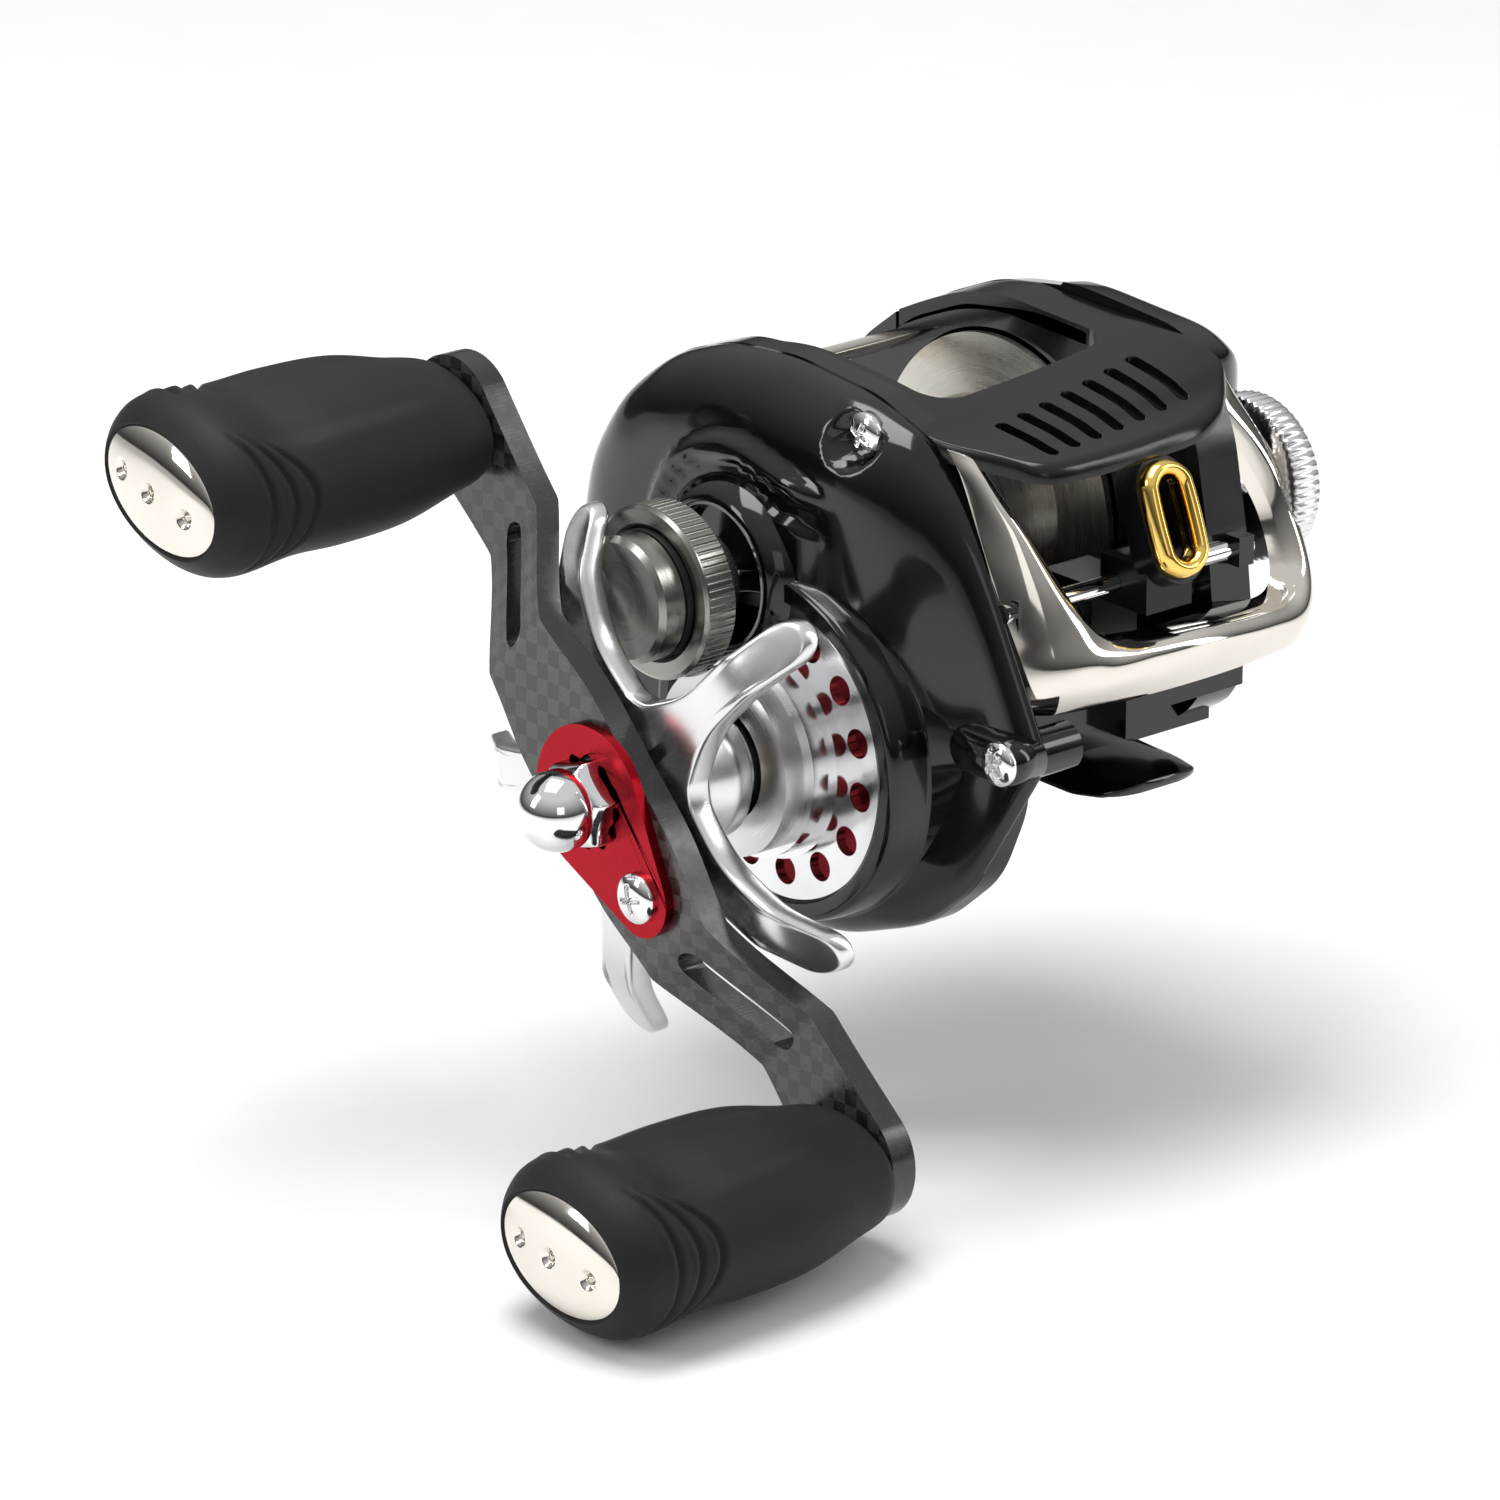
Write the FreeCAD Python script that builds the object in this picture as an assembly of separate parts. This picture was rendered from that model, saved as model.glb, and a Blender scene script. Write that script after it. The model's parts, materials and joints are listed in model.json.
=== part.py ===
# Low-profile baitcasting reel with a right-hand double-knob handle. Millimetres.
# X runs along the spool: -X is the handle side, +X the palm side.
# -Y is the front, where the line leaves, and +Z is up.
# The origin is the centre of the foot's base plane, on the rod's seat.
import FreeCAD
import Part
import math
import os

V = FreeCAD.Vector
os.makedirs("parts", exist_ok=True)

# ---- driving dimensions ----
spool_axis = (9.0, 20.4)  # (Y, Z) of every axis that runs along X
drive_axis = (1.1, 3.2)
worm_axis = (-16.5, 16.6)
rod_axis = (-23.6, 22.2)
ear_axis = (-28.3, 8.3)
upper_screw_axis = (-6.2, 38.0)
rear_screw_axis = (30.5, 13.0)
dial_axis = (-12.9, 24.7)

running = 0.05  # radial running clearance of shafts
gap = 0.3  # clearance between bodies that move past each other

gear_face = -17.5  # joint plane of frame and handle-side plate
palm_face = 17.5  # joint plane of frame and palm-side plate
wall = 1.8
frame_wall = 3.0
gear_plate_depth = 7.5
shoulder_depth = 3.5
lobe_radius = 19.2
lobe_depth = 9.5
palm_plate_depth = 11.5

spool_radius = 18.0
arbor_radius = 11.7
spool_left = -13.0
spool_right = 11.7
flange_thickness = 0.8
spool_shaft_radius = 1.25

main_teeth = 63
pinion_teeth = 10
wind_drive_teeth = 22
wind_idler_teeth = 28
wind_worm_teeth = 17
wind_module = 0.5
worm_radius = 2.2
worm_journal = 1.2
worm_pitch = 6.0
worm_groove = 0.9
guide_rod_radius = 1.0

drive_shaft_radius = 2.5
main_gear_near = -19.0
main_gear_thickness = 2.3
drag_radius = 12.0
drag_washer_thickness = 0.45
drag_washer_count = 3

flange_radius = 16.4
flange_thickness_drag = 0.6
backing_thickness = 0.2
hole_circle_radius = 13.35
hole_radius = 1.6
hole_pitch_deg = 25.0
hole_first_deg = 88.4
hole_count = 10
lower_step_radius = 11.6
upper_step_radius = 10.9
drum_radius = 10.1
pad_radius = 8.4  # raised pad round the cast control boss
pad_face = -28.4

cap_radius = 9.3
cap_front = -37.1
cap_skirt = 4.1
cap_wall = 1.05
cap_step = 2.45  # from the knurled rim in to the end
cap_end = -41.0
knurl_count = 72
cap_bore = cap_radius - cap_wall
cap_boss_radius = cap_bore - gap
cap_end_radius = cap_radius - cap_step
seal_bore = cap_end_radius - 0.65

arm_length = 90.0  # knob axis to knob axis
arm_angle_deg = 45.3
arm_thickness = 3.0
arm_centre_face = -51.0
arm_end_face = -43.8
arm_bend_inner = 18.5
arm_bend_outer = 31.0
arm_half_width = 6.6
arm_waist_half_width = 5.2
slot_length = 9.5
slot_width = 3.4

knob_length = 38.6
knob_stations = ((0.0, 7.6, 5.4), (3.0, 9.4, 6.2), (12.0, 10.6, 7.2), (24.0, 11.2, 8.2),
                 (33.0, 12.3, 9.3), (37.0, 11.0, 8.2), (38.6, 8.6, 6.0))
knob_tilts = (15.0, 7.0)  # degrees of the upper and lower knob's long section
spindle_radius = 2.0

star_arms = 5
star_first_deg = 61.9
star_tip_radius = 29.7
star_thickness = 1.7

foot_length = 58.0
foot_width = 15.2
foot_thickness = 1.8
foot_tip_thickness = 1.0
foot_arch = 0.7
foot_land = 26.0
rivet_radius = 1.1



# ---- helpers ----
def at(axis, x=0.0):
    return V(x, axis[0], axis[1])


def cyl(x0, x1, radius, axis):
    low, high = min(x0, x1), max(x0, x1)
    return Part.makeCylinder(radius, high - low, at(axis, low), V(1, 0, 0))


def ring(x0, x1, outer, inner, axis):
    low, high = min(x0, x1), max(x0, x1)
    return cyl(low, high, outer, axis).cut(cyl(low - 1, high + 1, inner, axis))


def box(x0, x1, y0, y1, z0, z1):
    return Part.makeBox(x1 - x0, y1 - y0, z1 - z0, V(x0, y0, z0))


def fuse(first, *others):
    return first.multiFuse(list(others)).removeSplitter()


def spun(profile, axis):
    """Solid of revolution about an axis along X, from (x, radius) points."""
    points = [V(x, axis[0], axis[1] + r) for x, r in profile]
    face = Part.Face(Part.makePolygon(points + points[:1]))
    return face.revolve(at(axis), V(1, 0, 0), 360)


def roundedWire(points, x):
    """Closed outline in the YZ plane at x, from (y, z, corner radius)."""
    corners = []
    count = len(points)
    for i in range(count):
        y, z, radius = points[i]
        here = V(x, y, z)
        before = V(x, *points[i - 1][:2]) - here
        after = V(x, *points[(i + 1) % count][:2]) - here
        before.normalize()
        after.normalize()
        half = math.acos(before.dot(after)) / 2
        reach = radius / math.tan(half)
        middle = before + after
        middle.normalize()
        centre = here + middle * (radius / math.sin(half))
        corners.append((here + before * reach, centre - middle * radius, here + after * reach))
    edges = []
    for i in range(count):
        start, mid, end = corners[i]
        edges.append(Part.Arc(start, mid, end).toShape())
        edges.append(Part.LineSegment(end, corners[(i + 1) % count][0]).toShape())
    return Part.Wire(edges)


def prism(points, x0, x1, inset=0.0):
    face = Part.Face(roundedWire(points, x0))
    if inset:
        face = face.makeOffset2D(-inset)
    return face.extrude(V(x1 - x0, 0, 0))


def loft(points, x0, inset0, x1, inset1):
    wires = []
    for x, inset in ((x0, inset0), (x1, inset1)):
        face = Part.Face(roundedWire(points, x))
        if inset:
            face = face.makeOffset2D(-inset)
        wires.append(face.OuterWire)
    return Part.makeLoft(wires, True, True)


def gearWheel(x0, x1, axis, teeth, module, phase_deg, bore):
    """Spur gear with straight-flanked teeth and working backlash."""
    pitch = module * teeth / 2
    root, tip = pitch - 1.15 * module, pitch + 0.85 * module
    half = math.pi / (2 * teeth) * 0.78
    slope = 0.40 * module / pitch
    widths = ((root, half + slope * 1.15), (tip, half - slope * 0.85))
    points = []
    for tooth in range(teeth):
        middle = math.radians(phase_deg) + 2 * math.pi * tooth / teeth
        flank = [(widths[0][0], -widths[0][1]), (widths[1][0], -widths[1][1]),
                 (widths[1][0], widths[1][1]), (widths[0][0], widths[0][1])]
        for radius, turn in flank:
            angle = middle + turn
            points.append(V(x0, axis[0] + radius * math.cos(angle), axis[1] + radius * math.sin(angle)))
    face = Part.Face(Part.makePolygon(points + points[:1]))
    return face.extrude(V(x1 - x0, 0, 0)).cut(cyl(x0 - 1, x1 + 1, bore, axis))


def direction(start, end):
    return math.degrees(math.atan2(end[1] - start[1], end[0] - start[0]))


def distance(start, end):
    return math.hypot(end[0] - start[0], end[1] - start[1])


def polar(axis, radius, angle_deg):
    angle = math.radians(angle_deg)
    return (axis[0] + radius * math.cos(angle), axis[1] + radius * math.sin(angle))


def save(name, shape):
    shape.exportStep("parts/" + name + ".step")
    print(name, len(shape.Solids), shape.isValid(), round(shape.Volume, 1))


def group(shapes):
    return Part.makeCompound([s for shape in shapes for s in shape.Solids])


# ---- outlines of the body, (Y, Z, corner radius) ----
body_outline = (
    (-24.4, 12.0, 14.0), (-23.2, 21.0, 14.0), (-20.9, 28.0, 14.0), (-17.0, 34.0, 12.0), (-12.2, 38.6, 9.0),
    (-4.5, 41.2, 14.0), (8.0, 42.4, 20.0), (18.0, 41.6, 16.0), (26.0, 38.8, 14.0), (33.0, 33.4, 14.0),
    (37.6, 26.5, 14.0), (39.4, 18.0, 14.0), (37.4, 7.0, 16.0), (31.5, -4.5, 16.0), (22.5, -14.0, 16.0),
    (11.0, -19.0, 16.0), (-2.0, -18.8, 16.0), (-13.0, -14.8, 16.0), (-21.0, -8.0, 14.0), (-25.2, 1.5, 14.0))
palm_outline = (
    (-24.2, 14.0, 12.0), (-23.0, 24.0, 14.0), (-21.2, 33.0, 14.0), (-18.4, 39.6, 5.0), (-12.0, 42.8, 10.0),
    (4.0, 43.8, 30.0), (15.5, 42.0, 16.0), (24.0, 38.4, 14.0), (31.6, 32.6, 14.0), (36.2, 25.0, 12.0),
    (36.8, 16.0, 12.0), (32.4, 7.6, 12.0), (24.0, 1.6, 14.0), (12.0, -0.8, 16.0), (-4.0, -0.8, 16.0),
    (-16.0, 1.0, 14.0), (-22.4, 5.4, 9.0))

main_module = 2 * distance(drive_axis, spool_axis) / (main_teeth + pinion_teeth)
mesh_deg = direction(drive_axis, spool_axis)
main_gear_far = main_gear_near - main_gear_thickness
gear_floor = gear_face - gear_plate_depth
cavity_floor = gear_face - gear_plate_depth - 0.2
lobe_face = gear_face - lobe_depth
ear_radius = 2.5
bearing_radius = 5.0
cradle_radius = spool_radius + 0.4


# ---- frame and what is fixed to it ----
def rodLug(x0, x1, extra):
    """Block that holds one end of the guide rod ahead of its wall."""
    return box(x0 - extra, x1 + extra, rod_axis[0] - 1.6 - extra, rod_axis[0] + 3.6,
               rod_axis[1] - 1.6 - extra,
               rod_axis[1] + 1.6 + extra)


def makeArch():
    """Skin of the top cover where it wraps the palm-side wall."""
    arch = prism(palm_outline, spool_right + gap, palm_face)
    arch = arch.cut(prism(palm_outline, 0, 30, cover_skin))
    return arch.cut(box(-30, 30, -50, 50, -50, 31.0)).cut(box(-30, 30, 26.0, 60, 0, 60)).cut(box(-30, 30,
                                                            -50, -19.0, 0, 60))


def makeFrame():
    gear_wall = prism(body_outline, gear_face, gear_face + frame_wall)
    gear_wall = fuse(gear_wall, cyl(gear_face, gear_face + 5.0, ear_radius, ear_axis),
                     box(gear_face, gear_face + frame_wall, -28.3, -22.0, 6.6, 10.0))
    palm_wall = prism(palm_outline, spool_right + gap, palm_face)
    deck = box(gear_face + 1, palm_face - 1, -19.0, 30.0, foot_thickness, 8.0)
    deck = deck.cut(cyl(-30, 30, cradle_radius, spool_axis))
    deck = deck.cut(box(-30, 30, 17.0, 40.0, -1.0, hood_room))
    front = box(gear_face + 1, palm_face - 1, -24.0, -13.5, 7.0, 10.4)
    pillar = box(gear_face + 1, palm_face - 1, 29.8, 33.6, hood_room, 18.0)
    pillar = pillar.cut(cyl(-30, 30, cradle_radius + 1, spool_axis))
    lug = box(-3.0, 3.0, -27.0, -22.0, 6.2, 10.4)
    frame = fuse(gear_wall, palm_wall, deck, front, pillar, lug)
    frame = fuse(frame, *[rodLug(x0, x1, 0.0) for x0, x1 in rod_lug_spans])
    frame = frame.cut(makeArch())
    cuts = [
        cyl(spool_right - 1, palm_face + 1, cradle_radius, spool_axis),
        cyl(gear_face - 1, gear_face + frame_wall + 1, bearing_radius + 0.5, spool_axis),
        cyl(gear_face - 1, gear_face + 2.4, bearing_radius, drive_axis),
        cyl(gear_face - 1, gear_face + frame_wall + 1, 3.4, worm_axis),
        cyl(palm_face - 2.6, palm_face + 1, 3.4, worm_axis),
        cyl(spool_right - 1, palm_face, worm_radius + gap, worm_axis),
        cyl(gear_face - 1, palm_face + 1, guide_rod_radius, rod_axis),
        cyl(gear_face - 1, gear_face + 6, 0.8, ear_axis),
        cyl(gear_face - 1, gear_face + 2.2, 0.8, upper_screw_axis),
        cyl(gear_face - 1, gear_face + 2.2, 0.8, rear_screw_axis),
        cyl(gear_face - 1, gear_face + 2.0, 1.0, idler_axis),
        box(gear_face - 1, gear_face + frame_wall + 1, 20.2, 31.6, 27.8, 36.4)]
    for spot in rivet_spots:
        cuts.append(Part.makeCylinder(rivet_radius, 2.4, V(spot[0], spot[1], foot_thickness - 1)))
    for spot in post_axes:
        cuts.append(cyl(gear_face - 1, gear_face + 1.6, post_radius, spot))
    for cutter in cuts:
        frame = frame.cut(cutter)
    return frame


def makeFoot():
    half, width = foot_length / 2, foot_width / 2
    outline = [V(-width, -half + 3, 0), V(-width + 2, -half, 0), V(width - 2, -half, 0), V(width,
                                                            -half + 3, 0),
               V(width, half - 3, 0), V(width - 2, half, 0), V(-width + 2, half, 0), V(-width, half - 3, 0)]
    blank = Part.Face(Part.makePolygon(outline + outline[:1])).extrude(V(0, 0, foot_thickness))
    land = foot_land / 2
    for side in (-1, 1):
        wedge = [V(-20, side * land, foot_thickness), V(-20, side * (half + 1), foot_tip_thickness),
                 V(-20, side * (half + 1), foot_thickness + 1), V(-20, side * land, foot_thickness + 1)]
        blank = blank.cut(Part.Face(Part.makePolygon(wedge + wedge[:1])).extrude(V(40, 0, 0)))
        chord = width - 1.2
        radius = (chord ** 2 + foot_arch ** 2) / (2 * foot_arch)
        arch = Part.makeCylinder(radius, half, V(0, side * land, foot_arch - radius), V(0, side, 0))
        blank = blank.cut(arch)
    for x, y in rivet_spots:
        hole = Part.makeCylinder(rivet_radius, foot_thickness + 2, V(x, y, -1))
        sink = Part.makeCone(rivet_radius + 0.7, rivet_radius, 0.7, V(x, y, 0))
        blank = blank.cut(hole).cut(sink)
    return blank


def makeRivet(x, y):
    head = Part.makeCone(rivet_radius + 0.6, rivet_radius, 0.6, V(x, y, 0.1))
    return head.fuse(Part.makeCylinder(rivet_radius, foot_thickness + 0.9, V(x, y, 0.1))).removeSplitter()


def makeGearPlate():
    shoulder = gear_face - shoulder_depth
    outer = fuse(prism(body_outline, gear_face, shoulder), loft(body_outline, shoulder, 0.0, gear_floor,
                                                            4.2),
                 cyl(shoulder, lobe_face, lobe_radius, drive_axis),
                 cyl(shoulder, pad_face, pad_radius, spool_axis),
                 cyl(shoulder, cap_front + cap_skirt - 0.6, cap_boss_radius, spool_axis),
                 cyl(gear_face, shoulder - 1.0, ear_radius, ear_axis),
                 box(shoulder - 1.0, gear_face, -28.3, -22.0, 6.6, 10.0))
    cavity = fuse(prism(body_outline, gear_face + 1, shoulder, wall),
                  loft(body_outline, shoulder, wall, cavity_floor + wall, wall + 3.6),
                  cyl(shoulder, cavity_floor, lobe_radius - wall, drive_axis),
                  cyl(shoulder, -25.4, pad_radius - 0.8, spool_axis),
                  cyl(shoulder, spool_bearing_far, bearing_radius, spool_axis))
    outer = outer.cut(cavity)
    outer = outer.fuse(cyl(cavity_floor, cover_near, drum_radius - 0.2, drive_axis))
    body = prism(body_outline, gear_face, gear_floor)
    for axis in (upper_screw_axis, rear_screw_axis):
        outer = outer.fuse(cyl(gear_face, gear_floor + 0.4, screw_recess_radius + 1.0, axis).common(body))
    outer = outer.cut(ring(lobe_face - 4, recess_floor, flange_radius + 0.1, drum_radius - 0.2,
                           drive_axis).cut(
        cyl(-60, 0, pad_radius, spool_axis)))
    for cutter in (
            cyl(cavity_floor + 1, lobe_face - 5, 7.9, drive_axis),
            cyl(-16, cap_front - 3, 2.0, spool_axis),
            cyl(gear_face + 1, shoulder - 3, 0.8, ear_axis),
            cyl(gear_face + 1, gear_floor - 2, 0.8, upper_screw_axis),
            cyl(screw_seat, gear_floor - 4, screw_recess_radius, upper_screw_axis),
            cyl(gear_face + 1, gear_floor - 2, 0.8, rear_screw_axis),
            cyl(screw_seat, gear_floor - 4, screw_recess_radius, rear_screw_axis)):
        outer = outer.cut(cutter)
    return outer.removeSplitter()


def makeScrew(axis, seat, length):
    """Round-head cross-slot screw with its head at the seat plane, towards -X."""
    head_radius = 2.0
    dome = Part.makeSphere(3.0, at(axis, seat + 1.55)).common(cyl(seat - 3, seat, head_radius, axis))
    cross = fuse(box(seat - 3, seat - 0.7, axis[0] - 1.2, axis[0] + 1.2, axis[1] - 0.25, axis[1] + 0.25),
                 box(seat - 3, seat - 0.7, axis[0] - 0.25, axis[0] + 0.25, axis[1] - 1.2, axis[1] + 1.2))
    return dome.cut(cross).fuse(cyl(seat, seat + length, 0.8, axis)).removeSplitter()


def makePalmPlate():
    far = palm_face + palm_plate_depth
    mid = palm_face + 5.0
    outer = fuse(prism(palm_outline, palm_face, mid), loft(palm_outline, mid, 0.0, far, 5.0))
    cavity = fuse(prism(palm_outline, palm_face - 1, mid, wall), loft(palm_outline, mid, wall, far - wall,
                                                            5.0))
    plate = outer.cut(cavity)
    boss = ring(palm_face - 2.2, far - 0.5, bearing_radius, 4.0, spool_axis)
    pocket = cyl(dial_near - gap, far + 5, dial_radius + gap, dial_axis)
    collar = cyl(dial_near - gap - 1.0, far, dial_radius + gap + 1.2, dial_axis).common(outer)
    stud = cyl(dial_near - gap - 0.6, dial_near + dial_thickness + 0.6, 1.5, dial_axis)
    return fuse(plate, boss, collar).cut(pocket).fuse(stud).removeSplitter()


def makeTopCover():
    """Cover over the spool: handle-side rail, palm-side arch and the slotted front lip."""
    left, right = gear_face + frame_wall, spool_right + gap
    rail = prism(body_outline, left, right)
    rail = rail.cut(prism(body_outline, -30, 30, cover_skin))
    rail = rail.cut(box(-30, 30, -50, 50, -50, 34.0)).cut(box(-30, 30, 19.0, 60, 0, 60))
    lip = [V(gear_face + 0.1, -11.0, 41.0), V(gear_face + 0.1, -25.6, 38.9), V(gear_face + 0.1, -26.4,
                                                            37.4),
           V(gear_face + 0.1, -11.0, 38.6)]
    lip = Part.Face(Part.makePolygon(lip + lip[:1])).extrude(V(palm_face - gear_face - 0.2, 0, 0))
    plan = [V(gear_face, -10, 0), V(gear_face, -15.5, 0), V(gear_face + 5.0, -26.6, 0), V(palm_face - 8.0,
                                                            -26.6, 0),
            V(palm_face, -19.6, 0), V(palm_face, -10, 0)]
    lip = lip.common(Part.Face(Part.makePolygon(plan + plan[:1])).extrude(V(0, 0, 60)))
    lip = lip.cut(prism(body_outline, gear_face - 1, left)).cut(prism(palm_outline, right, palm_face + 1))
    cover = fuse(rail, lip, makeArch())
    cover = cover.cut(roundedBox(left + 2.0, right, -9.0, 30.0, 4.0)).cut(cyl(-30, right + 1,
                                                            cradle_radius, spool_axis))
    for i in range(slot_count):
        x = first_slot_x + slot_pitch * i
        shift = 0.3 * i
        cover = cover.cut(slotAlongY(x, -22.6 + shift, -15.0 + shift, slot_half_width))
    return cover


def roundedBox(x0, x1, y0, y1, radius):
    block = box(x0, x1, y0, y1, 20, 60)
    edges = [e for e in block.Edges if abs(e.tangentAt(e.FirstParameter).z) > 0.9 and e.BoundBox.YMax < y0 + 1]
    return block.makeFillet(radius, edges)


def slotAlongY(x, y0, y1, half):
    body = box(x - half, x + half, y0, y1, 25, 60)
    ends = [Part.makeCylinder(half, 35, V(x, y, 25)) for y in (y0, y1)]
    return fuse(body, *ends)


def makeNoseCover():
    """Bright front cover round the line-guide window."""
    left, right = gear_face, 24.0
    side = [(-22.0, 9.8), (-27.4, 10.8), (-31.6, 15.0), (-31.4, 19.0), (-27.2, 30.0), (-22.0, 37.4),
            (-17.0, 38.0),
            (-22.0, 32.0)]
    points = [V(left, y, z) for y, z in side]
    block = Part.Face(Part.makePolygon(points + points[:1])).extrude(V(right - left, 0, 0))
    plan = [V(left, -10, 0), V(left, -25.6, 0), V(left + 3, -28.8, 0), V(left + 9, -31.6, 0),
            V(right - 15, -31.9, 0),
            V(right - 6, -29.0, 0), V(right, -24.0, 0), V(right, -10, 0)]
    block = block.common(Part.Face(Part.makePolygon(plan + plan[:1])).extrude(V(0, 0, 60)))
    block = block.cut(prism(body_outline, gear_face - 1, palm_face + 0.01))
    block = block.cut(prism(palm_outline, spool_right, right + 1))
    window = box(-14.3, 15.6, -40, -10, 17.2, 50)
    block = block.cut(window)
    for x0, x1 in rod_lug_spans:
        block = block.cut(rodLug(x0, x1, 0.1))
    block = block.cut(box(-3.1, 3.1, -27.1, -10, 6.0, 10.5))
    block = block.cut(box(gear_face - 1, palm_face, -24.1, -10.0, 6.9, 10.5))
    block = block.cut(cyl(gear_face, palm_face, guide_rod_radius + 0.1, rod_axis))
    return block.cut(cyl(gear_face - 1, -10, ear_radius + 0.1, ear_axis))


def makeEscutcheon():
    face = lobe_face + 0.5
    flange = cyl(face, face + flange_thickness_drag, flange_radius, drive_axis)
    steps = fuse(flange, cyl(face - 1.7, face, lower_step_radius, drive_axis),
                 cyl(cover_near, face, upper_step_radius, drive_axis))
    steps = steps.cut(cyl(-60, 0, drum_radius - 0.2, drive_axis))
    steps = steps.cut(cyl(-60, 0, pad_radius + 0.1, spool_axis))
    for i in range(hole_count):
        spot = polar(drive_axis, hole_circle_radius, hole_first_deg + hole_pitch_deg * i)
        steps = steps.cut(cyl(-60, 0, hole_radius, spot))
    return steps


def makeRedRing():
    disc = ring(recess_floor - backing_thickness, recess_floor, flange_radius - 0.4, drum_radius - 0.1,
                drive_axis)
    return disc.cut(cyl(-60, 0, pad_radius + 0.1, spool_axis))


# ---- pieces that turn with the handle ----
def onArm(distance_out, across, x):
    """Point at a distance along the arm's axis, and a distance across it."""
    angle = math.radians(arm_angle_deg)
    y = drive_axis[0] + distance_out * math.cos(angle) - across * math.sin(angle)
    z = drive_axis[1] + distance_out * math.sin(angle) + across * math.cos(angle)
    return V(x, y, z)


def makeArm():
    half = arm_length / 2
    end = half + arm_half_width
    faces = ((-end, arm_end_face), (-arm_bend_outer, arm_end_face), (-arm_bend_inner, arm_centre_face),
             (arm_bend_inner, arm_centre_face), (arm_bend_outer, arm_end_face), (end, arm_end_face))
    outside = [onArm(out, -12, x) for out, x in faces]
    inside = [onArm(out, -12, x + arm_thickness) for out, x in reversed(faces)]
    across = onArm(0, 12, 0) - onArm(0, -12, 0)
    sheet = Part.Face(Part.makePolygon(outside + inside + outside[:1])).extrude(across)
    rim = ((half, arm_half_width * 0.98), (arm_bend_outer, arm_waist_half_width),
           (arm_bend_inner - 2, arm_waist_half_width + 0.6), (7.5, arm_half_width + 0.6))
    upper = [onArm(s, w, -60) for s, w in rim] + [onArm(-s, w, -60) for s, w in reversed(rim)]
    lower = [onArm(-s, -w, -60) for s, w in rim] + [onArm(s, -w, -60) for s, w in reversed(rim)]
    plan = Part.Face(Part.makePolygon(upper + lower + upper[:1])).extrude(V(30, 0, 0))
    ends = [cyl(-60, -30, arm_half_width, polar(drive_axis, half * sign, arm_angle_deg)) for sign in (-1,
                                                            1)]
    arm = sheet.common(fuse(plan, *ends))
    for sign in (-1, 1):
        middle = (arm_bend_inner + arm_bend_outer) / 2 * sign
        hole_ends = [onArm(middle - slot_length / 2, 0, -60), onArm(middle + slot_length / 2, 0, -60)]
        width = slot_width / 2
        corner = [onArm(middle + a * slot_length / 2, b * width, -60) for a, b in ((-1, -1), (1, -1), (1,
                                                            1), (-1, 1))]
        slot = Part.Face(Part.makePolygon(corner + corner[:1])).extrude(V(30, 0, 0))
        slot = slot.multiFuse([Part.makeCylinder(width, 30, p, V(1, 0, 0)) for p in hole_ends])
        arm = arm.cut(slot)
        arm = arm.cut(cyl(-60, -30, spindle_radius, polar(drive_axis, half * sign, arm_angle_deg)))
    arm = arm.cut(cyl(-60, -30, drive_shaft_radius, drive_axis))
    return arm.cut(cyl(-60, -30, 1.2, retainer_axis))


def makeRetainer():
    near = arm_centre_face
    far = near - retainer_thickness
    disc, lobe = cyl(near, far, 8.2, drive_axis), cyl(near, far, 4.3, retainer_axis)
    outline = []
    separation = distance(drive_axis, retainer_axis)
    lean = math.degrees(math.acos((8.2 - 4.3) / separation))
    towards = direction(drive_axis, retainer_axis)
    for axis, radius, turn in ((drive_axis, 8.2, lean), (retainer_axis, 4.3, lean),
                               (retainer_axis, 4.3, -lean), (drive_axis, 8.2, -lean)):
        spot = polar(axis, radius, towards + turn)
        outline.append(V(far, spot[0], spot[1]))
    web = Part.Face(Part.makePolygon(outline + outline[:1])).extrude(V(retainer_thickness, 0, 0))
    plate = fuse(disc, lobe, web)
    for turn in (0, 30):
        plate = plate.cut(hexBar(far - 1, near + 1, nut_radius + 0.25, drive_axis, arm_angle_deg + turn))
    return plate.cut(cyl(far - 1, near + 1, 1.2, retainer_axis))


def hexBar(x0, x1, corner_radius, axis, phase_deg):
    low, high = min(x0, x1), max(x0, x1)
    points = []
    for i in range(6):
        spot = polar(axis, corner_radius, phase_deg + 60 * i)
        points.append(V(low, spot[0], spot[1]))
    return Part.Face(Part.makePolygon(points + points[:1])).extrude(V(high - low, 0, 0))


def makeNut():
    base = arm_centre_face
    hexagon = hexBar(base, base - 3.6, nut_radius, drive_axis, arm_angle_deg)
    hexagon = hexagon.common(spun(((base, 0), (base, nut_radius), (base - 2.8, nut_radius), (base - 3.6,
                                                            nut_radius - 0.7),
                                   (base - 3.6, 0)), drive_axis))
    collar = cyl(base - 3.6, base - 5.2, 4.3, drive_axis)
    dome = Part.makeSphere(4.3, at(drive_axis, base - 5.2)).common(cyl(base - 5.2, base - 12, 4.4,
                                                            drive_axis))
    return fuse(hexagon, collar, dome).cut(cyl(base + 1, base - 4.2, drive_shaft_radius, drive_axis))


def makeDriveShaft():
    threaded = cyl(arm_centre_face - 4.2, gear_face + 2.2, drive_shaft_radius, drive_axis)
    shoulder = cyl(arm_centre_face + arm_thickness, star_hub_far + 2.6, 3.4, drive_axis)
    return fuse(threaded, shoulder)


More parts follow.
